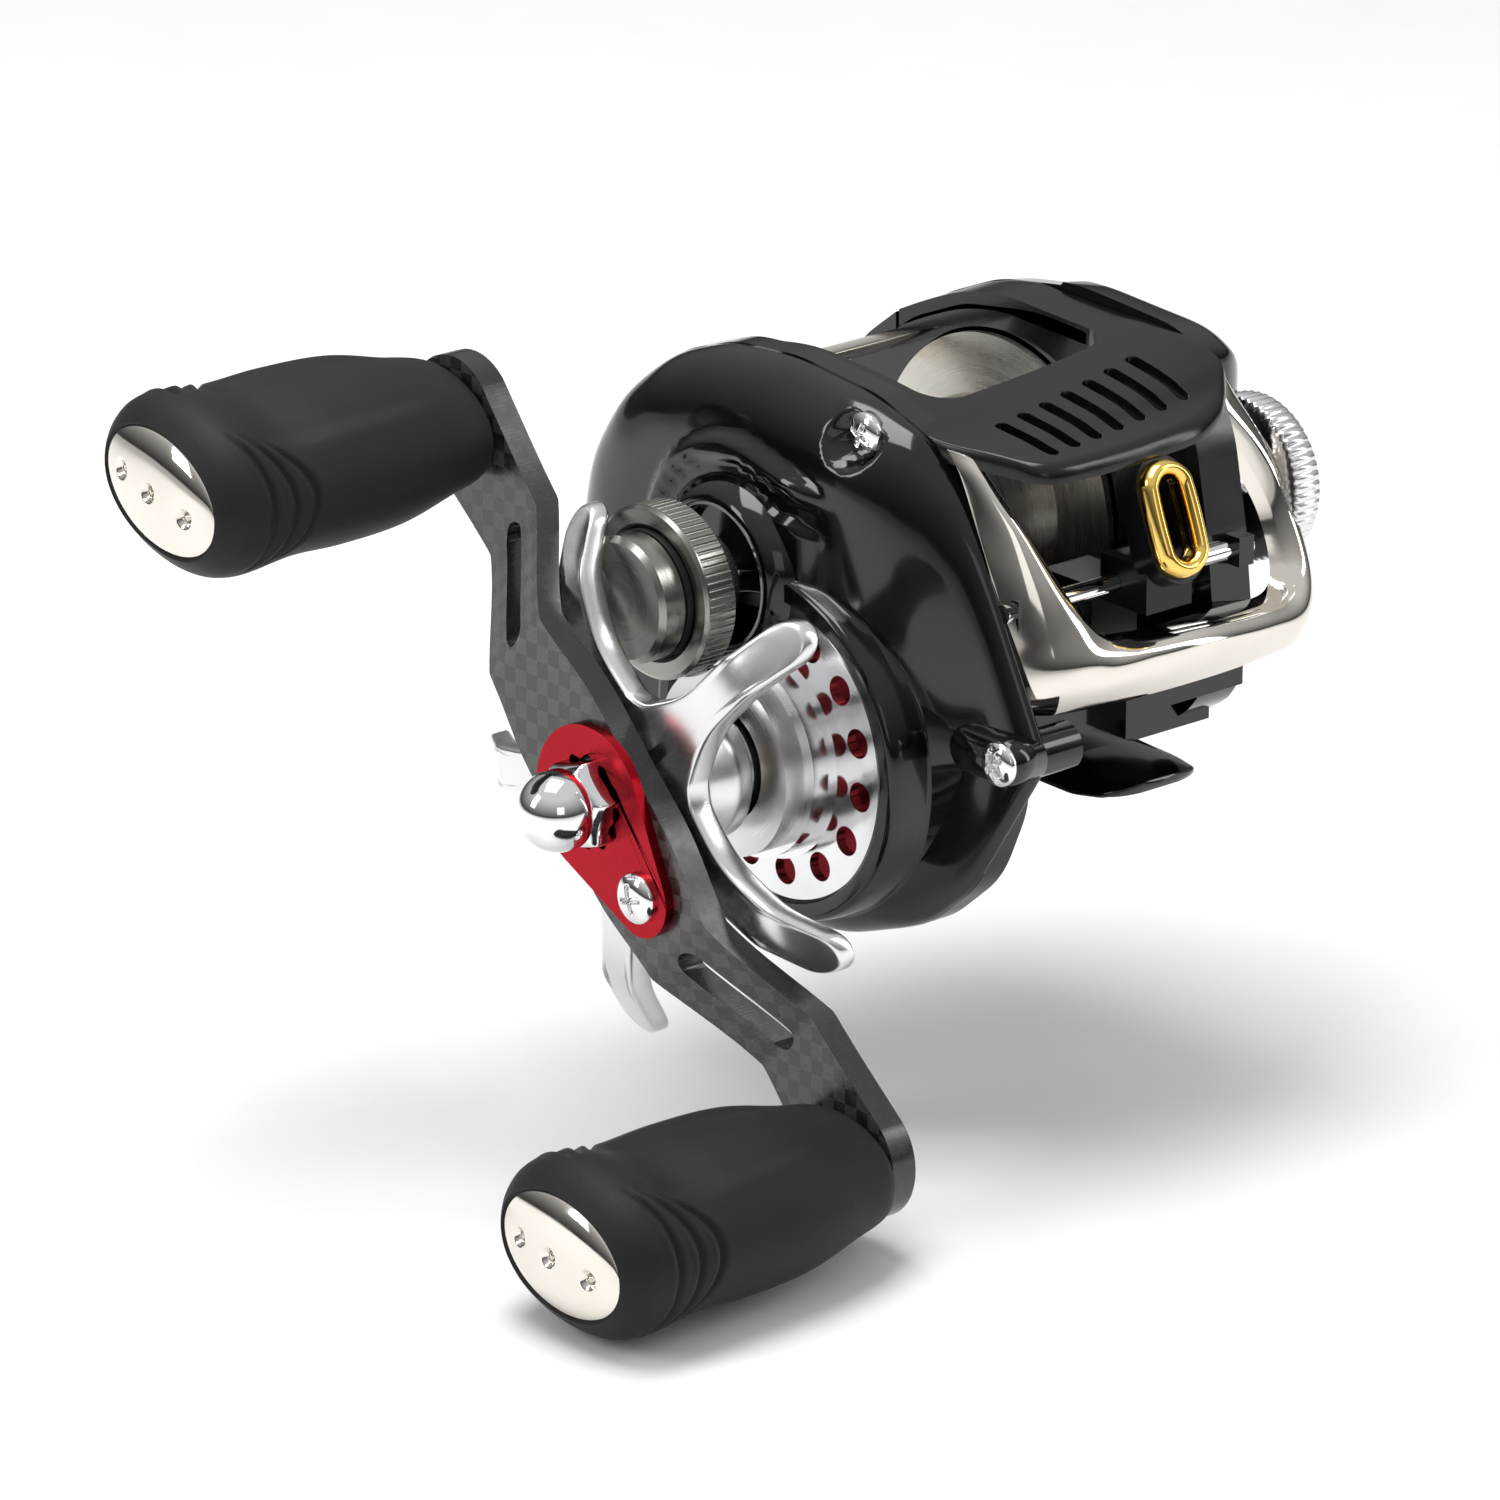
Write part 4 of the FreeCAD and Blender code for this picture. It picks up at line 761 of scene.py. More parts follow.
def makeStar():
    look = star
    edge = starOutline(1400)
    count = len(edge)
    inward = []
    for n in range(count):
        a, b = edge[n - 1], edge[(n + 1) % count]
        long = max(hypot(b[0] - a[0], b[1] - a[1]), 1e-9)
        inward.append((-(b[1] - a[1]) / long, (b[0] - a[0]) / long))

    def ringAt(inset, lift, share=1.0):
        # inset from the outline, lift in half thicknesses, share shrinks towards the axis
        ring = []
        for (y, z), (ny, nz) in zip(edge, inward):
            py, pz = (y + ny * inset) * share, (z + nz * inset) * share
            r = hypot(py, pz)
            x, thick = catmull(look["line"], r)
            flare = look["flare"] * exp(-max(r - look["hubRound"],
                                             0.0) / look["flareFall"]) if lift > 0 else 0.0
            bump = look["boss"] * (1 - easeStep(look["hubRound"], look["bossEdge"], r)) if lift < 0 else 0.0
            ring.append((x + thick * lift + flare - bump, driveAxis[0] + py, driveAxis[1] + pz))
        return ring

    rimInset = look["rim"][0][0]
    rings = [ringAt(rimInset, -1.0, share) for share in look["shares"]]
    rings += [ringAt(inset, lift) for inset, lift in look["rim"]]
    rings += [ringAt(rimInset, 1.0, share) for share in reversed(look["shares"])]
    bore = []
    for x in (-47.2, -40.0):
        bore.append([(x, driveAxis[0] + look["bore"] * cos(atan2(z, y)),
                      driveAxis[1] + look["bore"] * sin(atan2(z, y))) for y, z in edge])
    plate = skinRings("star_wheel", rings + bore[::-1], loopOver=True, caps=(False, False))
    flowNormals(plate)
    finishPiece(plate, finishes["satinSilver"], "star", ["star_drag"])
    hub = turned("star_hub", ((look["near"], look["bore"]), (look["near"], 7.0), (look["near"] - 0.4, 7.4),
                              (-38.5, 7.2), (-41.0, 6.9), (-43.0, 7.1), (-44.2, 7.9), (-44.9, 8.6),
                              (-45.4, 6.0), (-45.4, look["bore"])), driveAxis, 128, True)
    finishPiece(hub, finishes["satinSilver"], "star")


makeStar()
print("star made")

# handle nut, its lock plate and screw
nut = {"base": -51.0, "corner": 5.1, "dome": 4.3, "plate": 1.1, "lobeFar": 11.5, "hub": 8.2, "lobe": 4.3,
       "teeth": (5.25, 0.75)}


def makeHandleNut():
    look = nut
    base, steps = look["base"], 96
    rings = []
    for x, grow, rounded in ((0.0, 1.0, 0.0), (-2.7, 1.0, 0.0), (-3.3, 0.965, 0.25), (-3.65, 0.9, 0.6),
                             (-3.8, 0.86, 1.0)):
        ring = []
        for angle in around(steps):
            sector = (angle - armTurn + pi / 6) % (pi / 3) - pi / 6
            flat = look["corner"] * cos(pi / 6) / cos(abs(sector) - pi / 6)
            radius = (flat * (1 - rounded) + look["corner"] * 0.9 * rounded) * grow
            ring.append(polar(driveAxis, radius, angle, base + x))
        rings.append(ring)
    dome = look["dome"]
    for x, r in ((-3.85, 0.99), (-4.0, 0.985), (-5.0, 1.0)):
        rings.append(circle(driveAxis, dome * r, base + x, steps))
    for i in range(1, 25):
        lift = pi / 2 * i / 25
        rings.append(circle(driveAxis, dome * cos(lift), base - 5.2 - dome * sin(lift), steps))
    piece = skinRings("dome_nut", rings)
    softEdges(piece, 0.18, 2, 40)
    finishPiece(piece, finishes["chrome"], "crank", ["handle_nut"])


def makeLockPlate():
    look = nut
    far, hub, small = look["lobeFar"], look["hub"], look["lobe"]
    turn = armTurn + pi
    lobe = (driveAxis[0] + far * cos(turn), driveAxis[1] + far * sin(turn))
    lean = acos((hub - small) / far)
    outline = []
    for axis, radius, start, end in ((driveAxis, hub, lean, 2 * pi - lean), (lobe, small, -lean, lean)):
        for k in range(61):
            angle = turn + start + (end - start) * k / 60
            outline.append((axis[0] + radius * cos(angle), axis[1] + radius * sin(angle)))
    inner = []
    count = len(outline)
    for k in range(count):
        angle = turn + lean + (2 * pi) * k / count
        sector = (angle - armTurn + pi / 12) % (pi / 6) - pi / 12
        radius = look["teeth"][0] - look["teeth"][1] * (1 - abs(sector) / (pi / 12))
        inner.append((driveAxis[0] + radius * cos(angle), driveAxis[1] + radius * sin(angle)))
    near, top = look["base"], look["base"] - look["plate"]
    rings = [[(near, y, z) for y, z in outline], [(top, y, z) for y, z in outline],
             [(top, y, z) for y, z in inner], [(near, y, z) for y, z in inner]]
    piece = skinRings("lock_plate", rings, loopOver=True)
    softEdges(piece, 0.16, 2, 50)
    finishPiece(piece, finishes["redAnodised"], "crank", ["nut_retainer"], smooth=False)
    return lobe


def makeScrewHead(name, axis, seat, radius, turn, body, replaces, depth=1.5):
    # domed cross-slot head, its slot arms tapering in; the shank below the seat stays short
    rings = []
    for t in range(30):
        share = 1 - t / 29.5
        rise = depth * sqrt(max(1 - (share * 0.93) ** 2.4, 0.0)) * 0.95
        rings.append(circle(axis, radius * share, seat - rise, 120))
    base = [(seat + 0.6, p[1], p[2]) for p in rings[0]]
    sunk = []
    for ring in rings:
        moved = []
        for x, y, z in ring:
            u, v = y - axis[0], z - axis[1]
            across = abs(u * cos(turn) + v * sin(turn))
            along = abs(-u * sin(turn) + v * cos(turn))
            arm = min(across, along)
            reach = max(across, along)
            inside = (1 - easeStep(0.16, 0.34, arm)) * (1 - easeStep(radius * 0.5, radius * 0.62, reach))
            moved.append((x + inside * depth * 0.62, y, z))
        sunk.append(moved)
    piece = skinRings(name, [base] + sunk)
    finishPiece(piece, finishes["chrome"], body, replaces)
    return piece


makeHandleNut()
lobeAxis = makeLockPlate()
makeScrewHead("lock_screw", lobeAxis, nut["base"] - nut["plate"], 2.7, armTurn + 0.5, "crank",
              ["retainer_screw"])
print("nut, plate and screw made")


# outline of a side plate, read from its own CAD solid at the seam
def seamOutline(node, station, centre):
    # radius about the centre for any angle, eased a little so that corners flow
    piece = nodes[node]
    flat = []
    for vertex in piece.data.vertices:
        spot = piece.matrix_world @ vertex.co
        if abs(spot.x / mm - station) < 0.06:
            flat.append((spot.y / mm - centre[0], spot.z / mm - centre[1]))
    steps = 720
    outer = [0.0] * steps
    for y, z in flat:
        k = int((atan2(z, y) % (2 * pi)) / (2 * pi) * steps)
        outer[k] = max(outer[k], hypot(y, z))
    best = sorted(outer)[-1]
    hull = [p for p in hullOf(flat) if hypot(*p) <= best + 1]
    radii = []
    for angle in around(steps):
        out = (cos(angle), sin(angle))
        far = 0.0
        for a, b in zip(hull, hull[1:] + hull[:1]):
            edge = (b[0] - a[0], b[1] - a[1])
            det = out[0] * edge[1] - out[1] * edge[0]
            if abs(det) > 1e-9:
                reach = (a[0] * edge[1] - a[1] * edge[0]) / det
                share = (a[0] * out[1] - a[1] * out[0]) / det
                if reach > 0 and -1e-6 <= share <= 1 + 1e-6:
                    far = max(far, reach)
        radii.append(far)
    for _ in range(30):
        radii = [(radii[k - 1] + 2 * radii[k] + radii[(k + 1) % steps]) / 4 for k in range(steps)]

    def radiusAt(angle):
        where = (angle % (2 * pi)) / (2 * pi) * steps
        low = int(where) % steps
        return radii[low] + (radii[(low + 1) % steps] - radii[low]) * (where - int(where))
    return radiusAt


def hullOf(flat):
    flat = sorted(set((round(y, 4), round(z, 4)) for y, z in flat))
    half = []
    for row in (flat, flat[::-1]):
        chain = []
        for p in row:
            while len(chain) > 1 and (chain[-1][0] - chain[-2][0]) * (p[1] - chain[-2][1]) \
                    - (chain[-1][1] - chain[-2][1]) * (p[0] - chain[-2][0]) <= 0:
                chain.pop()
            chain.append(p)
        half += chain[:-1]
    return half


def softMax(a, b, blend):
    gap = max(blend - abs(a - b), 0.0) / blend
    return max(a, b) + gap * gap * blend / 4


def quarterRise(share, power=2.0):
    share = min(max(share, 0.0), 1.0)
    return (1 - (1 - share) ** power) ** (1 / power)


# handle-side plate
gearPlate = {
    "hole": 16.5, "lobe": 19.2, "lobeRise": 9.5, "rise": 7.4, "frontRise": 3.0, "rim": 10.5, "crest": 14.3,
    "crestRise": 8.9, "crestFrom": (9.0, 20.4), "crestTo": (0.0, 18.3), "band": (2.0, 4.6), "bandDeep": 0.7,
    "steps": 480, "rows": 46, "skin": 1.8, "seat": 3.1,
    "frontFade": (-24.0, -4.0), "crestFade": (-15.0, 1.0), "crestLow": 0.30, "bandWall": 0.35,
    "recess": (2.65, 3.3), "clear": 0.02, "lobeWall": (0.15, 0.95), "crestBlend": 0.9, "lobeBlend": 0.35,
    "holeRound": 0.35,
    "lobeRings": (16.6, 16.9, 17.4, 18.0, 18.45, 18.75, 18.95, 19.1, 19.2, 19.3, 19.42, 19.6, 19.9, 20.3)}
ear = {"radius": 2.55, "stretch": 5.4, "seat": -21.7}
plateScrews = (("upper", (-6.2, 38.0)), ("rear", (30.5, 13.0)), ("ear", (-28.3, 8.3)))


def capsuleDistance(y, z, a, b):
    ay, az = y - a[0], z - a[1]
    by, bz = b[0] - a[0], b[1] - a[1]
    share = min(max((ay * by + az * bz) / (by * by + bz * bz), 0.0), 1.0)
    return hypot(ay - by * share, az - bz * share)


def gearPlateRise(y, z, inside):
    look = gearPlate
    front = easeStep(*look["frontFade"], y)
    rise = look["frontRise"] + (look["rise"] - look["frontRise"]) * front
    rise = rise * quarterRise(inside / look["rim"], 2.2)
    near = look["crest"] - capsuleDistance(y, z, look["crestFrom"], look["crestTo"])
    if near > -2:
        low = look["crestLow"]
        height = look["crestRise"] * (low + (1 - low) * easeStep(*look["crestFade"], y))
        start, end = look["band"]
        band = easeStep(start, start + look["bandWall"], near)
        band *= 1 - easeStep(end, end + look["bandWall"], near)
        crest = height * quarterRise((near + 1.1) / 1.9, 2.0) - look["bandDeep"] * band
        rise = softMax(rise, crest, look["crestBlend"])
    out = hypot(y - driveAxis[0], z - driveAxis[1])
    lip, wall = look["lobeWall"]
    lobe = look["lobeRise"] * quarterRise((look["lobe"] + lip - out) / wall, 2.0)
    if out < look["lobe"] + lip:
        rise = softMax(rise, lobe, look["lobeBlend"])
    for _, spot in plateScrews[:2]:
        far = hypot(y - spot[0], z - spot[1])
        sunk = look["seat"] + (rise - look["seat"]) * easeStep(*look["recess"], far)
        rise = min(rise, sunk) if far < look["recess"][1] else rise
    return rise


def makeGearPlate():
    look = gearPlate
    reach = seamOutline("handle_side_plate", gearFace, driveAxis)
    inner = (look["hole"], *look["lobeRings"])
    seam = gearFace - look["clear"]
    rings = [[] for _ in range(len(inner) + look["rows"])]
    under = [[], [], [], []]
    for angle in around(look["steps"]):
        c, s = cos(angle), sin(angle)
        edge = reach(angle) - look["clear"]
        radii = list(inner)
        for j in range(1, look["rows"] + 1):
            radii.append(inner[-1] + (edge - inner[-1]) * (1 - (1 - j / look["rows"]) ** 1.7))
        for ring, r in zip(rings, radii):
            y, z = driveAxis[0] + r * c, driveAxis[1] + r * s
            inside = edge - r
            drop = gearPlateRise(y, z, inside) if inside > 1e-6 else 0.0
            if r == look["hole"]:
                drop -= look["holeRound"]
            ring.append((seam - drop, y, z))
        for ring, r, x in zip(under, (edge - look["skin"], max(edge - 3.4, 20.0), 19.0, look["hole"]),
                              (seam, gearFace - 1.2, gearFace - 4.6, gearFace - 6.6)):
            ring.append((x, driveAxis[0] + r * c, driveAxis[1] + r * s))
    piece = skinRings("gear_side_plate", rings + under, loopOver=True, caps=(False, False))
    finishPiece(piece, finishes["glossBlack"], "frame", ["handle_side_plate"])


def makeEar():
    # the small boss ahead of the plate that takes the front screw
    spot = plateScrews[2][1]
    rings = []
    for x, grow in ((gearFace, 1.0), (-20.8, 1.0), (-21.5, 0.95), (-21.9, 0.84)):
        ring = []
        for angle in around(64):
            stretch = ear["stretch"] if cos(angle) > 0 else 0.0
            r = ear["radius"] * grow
            ring.append((x, spot[0] + stretch + r * cos(angle), spot[1] + r * sin(angle)))
        rings.append(ring)
    piece = skinRings("ear_boss", rings)
    finishPiece(piece, finishes["glossBlack"], "frame")


def makePlateScrews():
    for name, spot in plateScrews:
        seat = gearFace - gearPlate["seat"] if name != "ear" else ear["seat"]
        turn = 0.7 + spot[0] * 0.05   # each screw stopped at its own angle
        makeScrewHead("screw_" + name, spot, seat, 2.35, turn, "frame", ["side_plate_screws"], 1.2)


def makeCapSeat():
    # raised ring the cast control cap turns in
    profile = ((-23.0, 8.0), (-25.5, 10.4), (-26.2, 10.4), (-27.6, 9.2), (-28.2, 8.7), (-28.4, 8.3),
               (-28.4, 7.6), (-23.0, 7.6))
    piece = turned("cap_seat", profile, spoolAxis, 128, True)
    finishPiece(piece, finishes["glossBlack"], "frame")


makeGearPlate()
makeEar()
makePlateScrews()
makeCapSeat()
print("handle-side plate made")

# palm-side plate and its brake dial
palmPlate = {"centre": (6.0, 21.0), "rise": 11.4, "rim": 15.5, "steps": 360, "rows": 44, "skin": 1.8,
             "round": 2.1, "front": -17.0, "frontLean": 1.6, "frontBlend": 1.2, "pocket": 9.35,
             "pocketFloor": 8.0, "dialFrom": 8.5, "dialThick": 3.8, "flutes": 54, "fluteDeep": 0.22}


def makePalmPlate():
    look = palmPlate
    centre = look["centre"]
    reach = seamOutline("palm_side_plate", palmFace, centre)
    rings = [[] for _ in range(look["rows"] + 1)]
    under = [[] for _ in range(12)]
    for angle in around(look["steps"]):
        c, s = cos(angle), sin(angle)
        edge = reach(angle)
        if c < 0:
            stop = (look["front"] + look["frontLean"] * s - centre[0]) / c
            edge = edge - 0.5 * (edge - stop + sqrt((edge - stop) ** 2 + look["frontBlend"])) + 0.4
        for j, ring in enumerate(rings):
            r = edge * (1 - (j / look["rows"]) * 0.995)
            inside = (edge - r) / look["rim"]
            ring.append((palmFace + look["rise"] * quarterRise(inside, look["round"]), centre[0] + r * c,
                         centre[1] + r * s))
        for j, ring in enumerate(under):
            r = (edge - look["skin"]) * (1 - j / 11 * 0.995)
            inside = (edge - look["skin"] - r) / look["rim"]
            ring.append((palmFace + (look["rise"] - look["skin"]) * quarterRise(inside, look["round"]),
                         centre[0] + r * c, centre[1] + r * s))
    piece = skinRings("palm_plate", rings[::-1] + under, caps=(True, True))
    floor = palmFace + look["pocketFloor"]
    pocket = turned("pocket cutter", ((floor, look["pocket"]), (palmFace + 25, look["pocket"])), dialAxis, 96)
    cutOut(piece, [pocket])
    softEdges(piece, 0.3, 3, 50)
    flowNormals(piece)
    finishPiece(piece, finishes["glossBlack"], "frame", ["palm_side_plate"])


def makeDial():
    look = palmPlate
    near, far = palmFace + look["dialFrom"], palmFace + look["dialFrom"] + look["dialThick"]
    rings = []
    for x, r, deep in ((near, 1.7, 0.0), (near, 8.2, 0.0), (near + 0.35, 8.85, 0.6), (near + 0.6, 9.0, 1.0),
                       (far - 0.6, 9.0, 1.0), (far - 0.3, 8.8, 0.6), (far, 8.3, 0.0), (far, 7.0, 0.0),
                       (far - 0.5, 6.6, 0.0), (far - 0.5, 2.6, 0.0), (far, 2.2, 0.0), (far, 1.7, 0.0)):
        ring = []
        for angle in around(540):
            dip = look["fluteDeep"] * deep * (0.5 - 0.5 * cos(angle * look["flutes"])) ** 1.5
            ring.append(polar(dialAxis, r - dip, angle, x))
        rings.append(ring)
    piece = skinRings("dial_wheel", rings, loopOver=True)
    finishPiece(piece, finishes["satinSilver"], "brake_dial", ["brake_dial"])


makePalmPlate()
makeDial()
print("palm-side plate and dial made")

# top cover over the spool
topCover = {
    "leftLine": ((-27.0, 37.6), (-20.0, 38.0), (-14.0, 38.3), (-9.0, 39.4), (-4.0, 40.5), (4.0, 41.3),
                 (12.0, 41.6), (20.0, 40.3), (26.0, 37.9)),
    "rightLine": ((-27.0, 38.4), (-22.0, 39.6), (-18.9, 41.2), (-14.0, 42.5), (-7.9, 42.9), (-3.3, 42.9),
                  (3.0, 43.1), (9.2, 43.2), (15.5, 41.9), (21.0, 39.6), (26.0, 37.2)),
    "edge": ((0.0, -17.5, -13.8), (0.05, -16.6, -17.0), (0.10, -15.2, -21.0), (0.145, -13.9, -24.2),
             (0.19, -12.0, -25.7), (0.28, -8.0, -26.1), (0.52, 0.5, -26.1), (0.74, 8.2, -25.7),
             (0.86, 12.6, -24.0), (0.94, 15.2, -22.0), (1.0, 17.4, -19.6)),
    "skin": 1.9, "drop": 1.5, "window": (-12.5, 12.0, -8.0, 4.0), "slots": 7, "slotFirst": -9.8,
    "slotStep": 3.3, "slotWide": 1.5, "slotEnds": (-22.6, -15.0), "slotDrift": 0.3, "half": 17.45,
    "sag": 0.55, "curl": 1.7, "sideRound": 1.3, "sideDrop": 0.5, "lanes": 140, "rows": 70,
    # how far back the rails run: handle side, palm side, and where the palm side starts
    "rears": (19.0, 25.5, 11.9)}


def makeTopCover():
    look = topCover
    lanes, rows = look["lanes"], look["rows"]
    half = look["half"]
    top, under = [], []
    for i in range(lanes + 1):
        u = i / lanes
        frontX, frontY = catmull(look["edge"], u)
        rearX = -half + 2 * half * u
        rearY = look["rears"][0] if rearX < look["rears"][2] else look["rears"][1]
        upper, lower = [], []
        for j in range(rows + 1):
            v = 1 - (1 - j / rows) ** 1.5
            bend = easeStep(0.2, 1.0, v)
            x = rearX + (frontX - rearX) * bend
            y = rearY + (frontY - rearY) * v
            share = (x + 17.5) / 35
            z = catmull(look["leftLine"], y)[0] * (1 - share) + catmull(look["rightLine"], y)[0] * share
            z -= look["sag"] * sin(pi * share)
            ahead = hypot(x - frontX, y - frontY)
            curl = (1 - quarterRise(ahead / look["curl"], 2.0)) * look["drop"]
            side = (1 - quarterRise(min(x + half, half - x) / look["sideRound"], 2.0)) * look["sideDrop"]
            upper.append((x, y, z - curl - side * (1 - v)))
            lower.append((x, y, min(z - look["skin"], z - curl - 0.5)))
        top.append(upper)
        under.append(lower)
    piece = skinRings("spool_cover", [upper + lower[::-1] for upper, lower in zip(top, under)])
    x0, x1, y0, corner = look["window"]
    loop = [(x0, 40.0)]
    for middle, start in ((x0 + corner, pi), (x1 - corner, -pi / 2)):
        for k in range(13):
            angle = start + pi / 2 * k / 12
            loop.append((middle + corner * cos(angle), y0 + corner + corner * sin(angle)))
    loop.append((x1, 40.0))
    cutters = [skinRings("window cutter", [[(x, y, z) for x, y in loop] for z in (20.0, 60.0)])]
    for i in range(look["slots"]):
        x, shift, wide = look["slotFirst"] + look["slotStep"] * i, look["slotDrift"] * i, look["slotWide"] / 2
        loop = []
        for angle in around(32):
            end = look["slotEnds"][1 if sin(angle) >= 0 else 0]
            loop.append((x + wide * cos(angle), end + shift + wide * sin(angle)))
        cutters.append(skinRings("slot cutter", [[(a, b, z) for a, b in loop] for z in (20.0, 60.0)]))
    cutOut(piece, cutters, "MANIFOLD")
    softEdges(piece, 0.32, 3, 40)
    flowNormals(piece)
    finishPiece(piece, finishes["satinBlack"], "frame", ["top_cover"])


makeTopCover()
print("top cover made")

# bright nose cover round the line window
nose = {
    # share along the ribbon, outer edge x y z, middle x y z, window edge x y z
    "line": ((0.00, -17.5, -15.1, 37.9, -16.4, -17.6, 37.3, -15.3, -18.0, 36.2),
             (0.06, -17.5, -17.1, 35.6, -16.3, -19.4, 35.3, -14.8, -19.6, 34.3),
             (0.14, -17.5, -19.6, 30.7, -15.6, -22.6, 30.6, -13.8, -23.0, 30.2),
             (0.22, -17.5, -22.1, 25.4, -14.6, -25.7, 25.0, -11.3, -26.2, 24.2),
             (0.30, -17.4, -24.4, 19.0, -13.8, -27.8, 19.6, -9.7, -27.7, 21.0),
             (0.37, -17.2, -25.7, 13.4, -12.6, -29.2, 16.4, -7.2, -28.4, 18.6),
             (0.43, -14.6, -26.4, 11.3, -9.6, -29.8, 15.6, -3.9, -28.4, 17.9),
             (0.52, -5.6, -28.3, 11.2, -2.8, -30.6, 15.8, 0.9, -28.3, 17.5),
             (0.62, 6.2, -28.8, 11.2, 6.4, -30.6, 15.8, 6.9, -27.6, 17.2),
             (0.71, 16.4, -27.9, 11.2, 15.4, -29.2, 15.2, 14.2, -26.0, 16.4),
             (0.79, 23.4, -25.8, 11.4, 22.6, -26.8, 14.8, 21.0, -24.0, 15.8),
             (0.85, 27.2, -22.6, 14.6, 26.3, -23.6, 17.2, 23.7, -22.2, 18.0),
             (0.90, 27.8, -19.6, 21.0, 26.6, -21.0, 22.6, 23.6, -20.3, 23.6),
             (0.95, 26.0, -17.7, 28.6, 24.3, -19.2, 29.6, 21.0, -18.8, 29.5),
             (1.00, 20.8, -16.0, 37.9, 19.2, -17.5, 36.9, 16.9, -17.8, 34.9)),
    "rows": 150, "across": 22, "skin": 0.9, "lip": 0.5, "lipFrom": 0.80, "inner": (2.0, -6.0, 22.0)}


def makeNose():
    look = nose
    rings = []
    for i in range(look["rows"] + 1):
        values = catmull(look["line"], i / look["rows"])
        outer, middle, edge = Vector(values[0:3]), Vector(values[3:6]), Vector(values[6:9])
        face = []
        for j in range(look["across"] + 1):
            t = j / look["across"]
            t = t * t * (3 - 2 * t) * 0.35 + t * 0.65
            face.append(outer * (2 * (t - 0.5) * (t - 1)) + middle * (4 * t * (1 - t)) + edge
                        * (2 * t * (t - 0.5)))
        back = []
        for j, spot in enumerate(face):
            inward = (Vector(look["inner"]) - spot).normalized()
            deep = look["skin"] + look["lip"] * easeStep(look["lipFrom"], 1.0, j / look["across"])
            back.append(spot + inward * deep)
        rings.append([tuple(p) for p in face] + [tuple(p) for p in back[::-1]])
    piece = skinRings("nose_front", rings)
    softEdges(piece, 0.35, 3, 45)
    flowNormals(piece)
    finishPiece(piece, finishes["brightNickel"], "frame", ["nose_cover"])


makeNose()
print("nose cover made")

# thumb bar, foot and line ring
thumbBar = {
    "section": ((20.9, 36.15), (25.4, 35.0), (29.7, 33.35), (31.1, 32.1), (30.5, 31.55), (28.2, 31.9),
                (25.0, 33.6), (22.2, 35.15)), "middle": (26.6, 33.7), "steps": 7, "lead": 3.3,
                "endRound": 1.2}


def closedFlow(points, steps):
    # smooth closed loop through some points
    loop, count = [], len(points)
    for i in range(count):
        before, a, b, after = (points[(i + n) % count] for n in (-1, 0, 1, 2))
        for k in range(steps):
            u = k / steps
            loop.append(tuple(0.5 * (2 * a[n] + (b[n] - before[n]) * u
                                     + (2 * before[n] - 5 * a[n] + 4 * b[n] - after[n]) * u * u
                                     + (3 * a[n] - before[n] - 3 * b[n] + after[n]) * u ** 3)
                                     for n in (0, 1)))
    return loop


def makeThumbBar():
    look = thumbBar
    left, right = gearFace + look["lead"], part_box("thumb_bar")[1].x / mm
    loop = closedFlow(look["section"], look["steps"])
    rings = []
    for i in range(61):
        x = left + (right - left) * (0.5 - 0.5 * cos(pi * i / 60))
        grow = quarterRise((min(x - left, right - x) + 0.2) / look["endRound"], 2.2)
        rings.append([(x, look["middle"][0] + (y - look["middle"][0]) * grow,
                       look["middle"][1] + (z - look["middle"][1]) * grow) for y, z in loop])
    piece = skinRings("thumb_rest", rings)
    finishPiece(piece, finishes["champagne"], "thumb_bar", ["thumb_bar"])


foot = {"land": 11.0, "tip": 1.0, "arch": 1.4, "narrow": 0.16, "endRound": 2.4, "waist": 0.55}


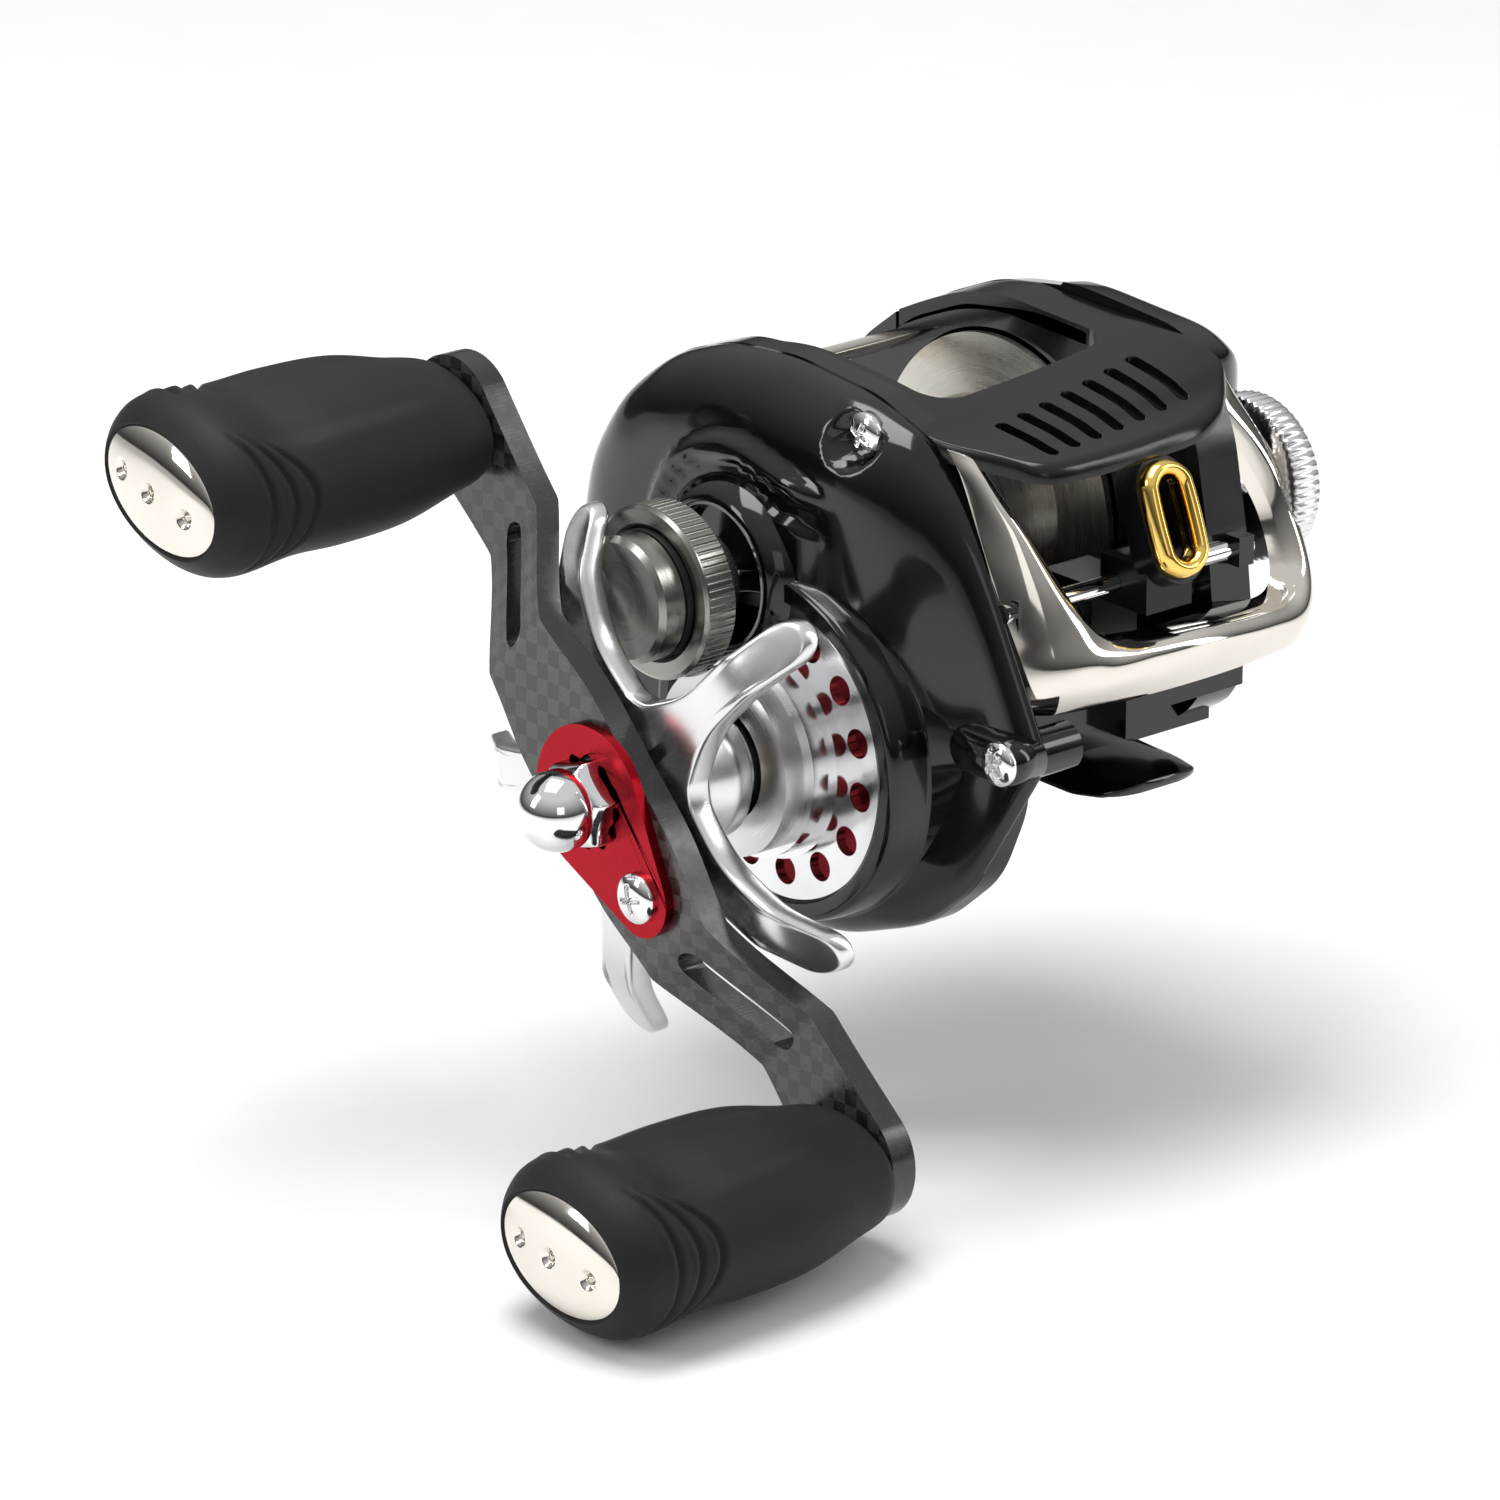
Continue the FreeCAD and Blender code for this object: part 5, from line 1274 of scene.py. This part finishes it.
def makeFoot():
    look = foot
    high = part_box("reel_foot")[1]
    half, wide, thick = high.y / mm, high.x / mm, high.z / mm
    rings = []
    for i in range(121):
        t = -1 + 2 * i / 120
        y = half * sin(t * pi / 2)
        out = abs(y)
        taper = easeStep(look["land"], half, out)
        width = wide * (1 - look["narrow"] * easeStep(half - 6, half, out))
        width *= quarterRise((half - out + 0.12) / look["endRound"], 2.4)
        straight = max((out - look["land"]) / (half - look["land"]), 0)
        height = thick + (look["tip"] - thick) * (0.35 * taper + 0.65 * straight)
        arch = look["arch"] * easeStep(look["land"] - 1, look["land"] + 3, out)
        ring = []
        for angle in around(64):
            c, s = cos(angle), sin(angle)
            x = width * copysign(abs(c) ** 0.5, c)
            sag = arch * (1 - (x / wide) ** 2)
            if s >= 0:
                z = height * (look["waist"] + (1 - look["waist"]) * s ** 0.5) + sag * 0.6
            else:
                z = height * look["waist"] * (1 - (-s) ** 0.4) + sag
                z = min(z, height * 0.75)
            ring.append((x, y, max(z, 0.0)))
        rings.append(ring)
    piece = skinRings("rod_foot", rings)
    finishPiece(piece, finishes["glossBlack"], "frame", ["reel_foot"])


lineRing = {"wide": 2.5, "tube": 1.0, "deep": 1.7, "lean": radians(22.0)}


def ringFrame(u, v, w, middle):
    # across, along the lean and out of the ring's plane
    x, y, z = middle
    c, s = cos(lineRing["lean"]), sin(lineRing["lean"])
    return (x + u, y + v * s - w * c, z + v * c + w * s)


def makeLineRing():
    look = lineRing
    low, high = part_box("line_guide_ring")
    middle = ((low.x + high.x) / 2 / mm, (low.y + high.y) / 2 / mm, (low.z + high.z) / 2 / mm)
    tall = (high.z - low.z) / 2 / mm - look["tube"]
    rings = []
    for i in range(128):
        turn = 2 * pi * i / 128
        straight = tall - look["wide"]
        v = look["wide"] * sin(turn) + straight * max(min(sin(turn) * 3.0, 1.0), -1.0)
        u = look["wide"] * cos(turn)
        ring = []
        for angle in around(28):
            grow = look["tube"] * cos(angle)
            ring.append(ringFrame(u + grow * cos(turn), v + grow * sin(turn),
                                  look["deep"] * sin(angle), middle))
        rings.append(ring)
    piece = skinRings("gold_eye", rings, caps=(False, False), loopOver=True)
    finishPiece(piece, finishes["gold"], "line_guide", ["line_guide_ring"])


makeThumbBar()
makeFoot()
makeLineRing()
print("thumb bar, foot and ring made")

# close
print("all pieces made")
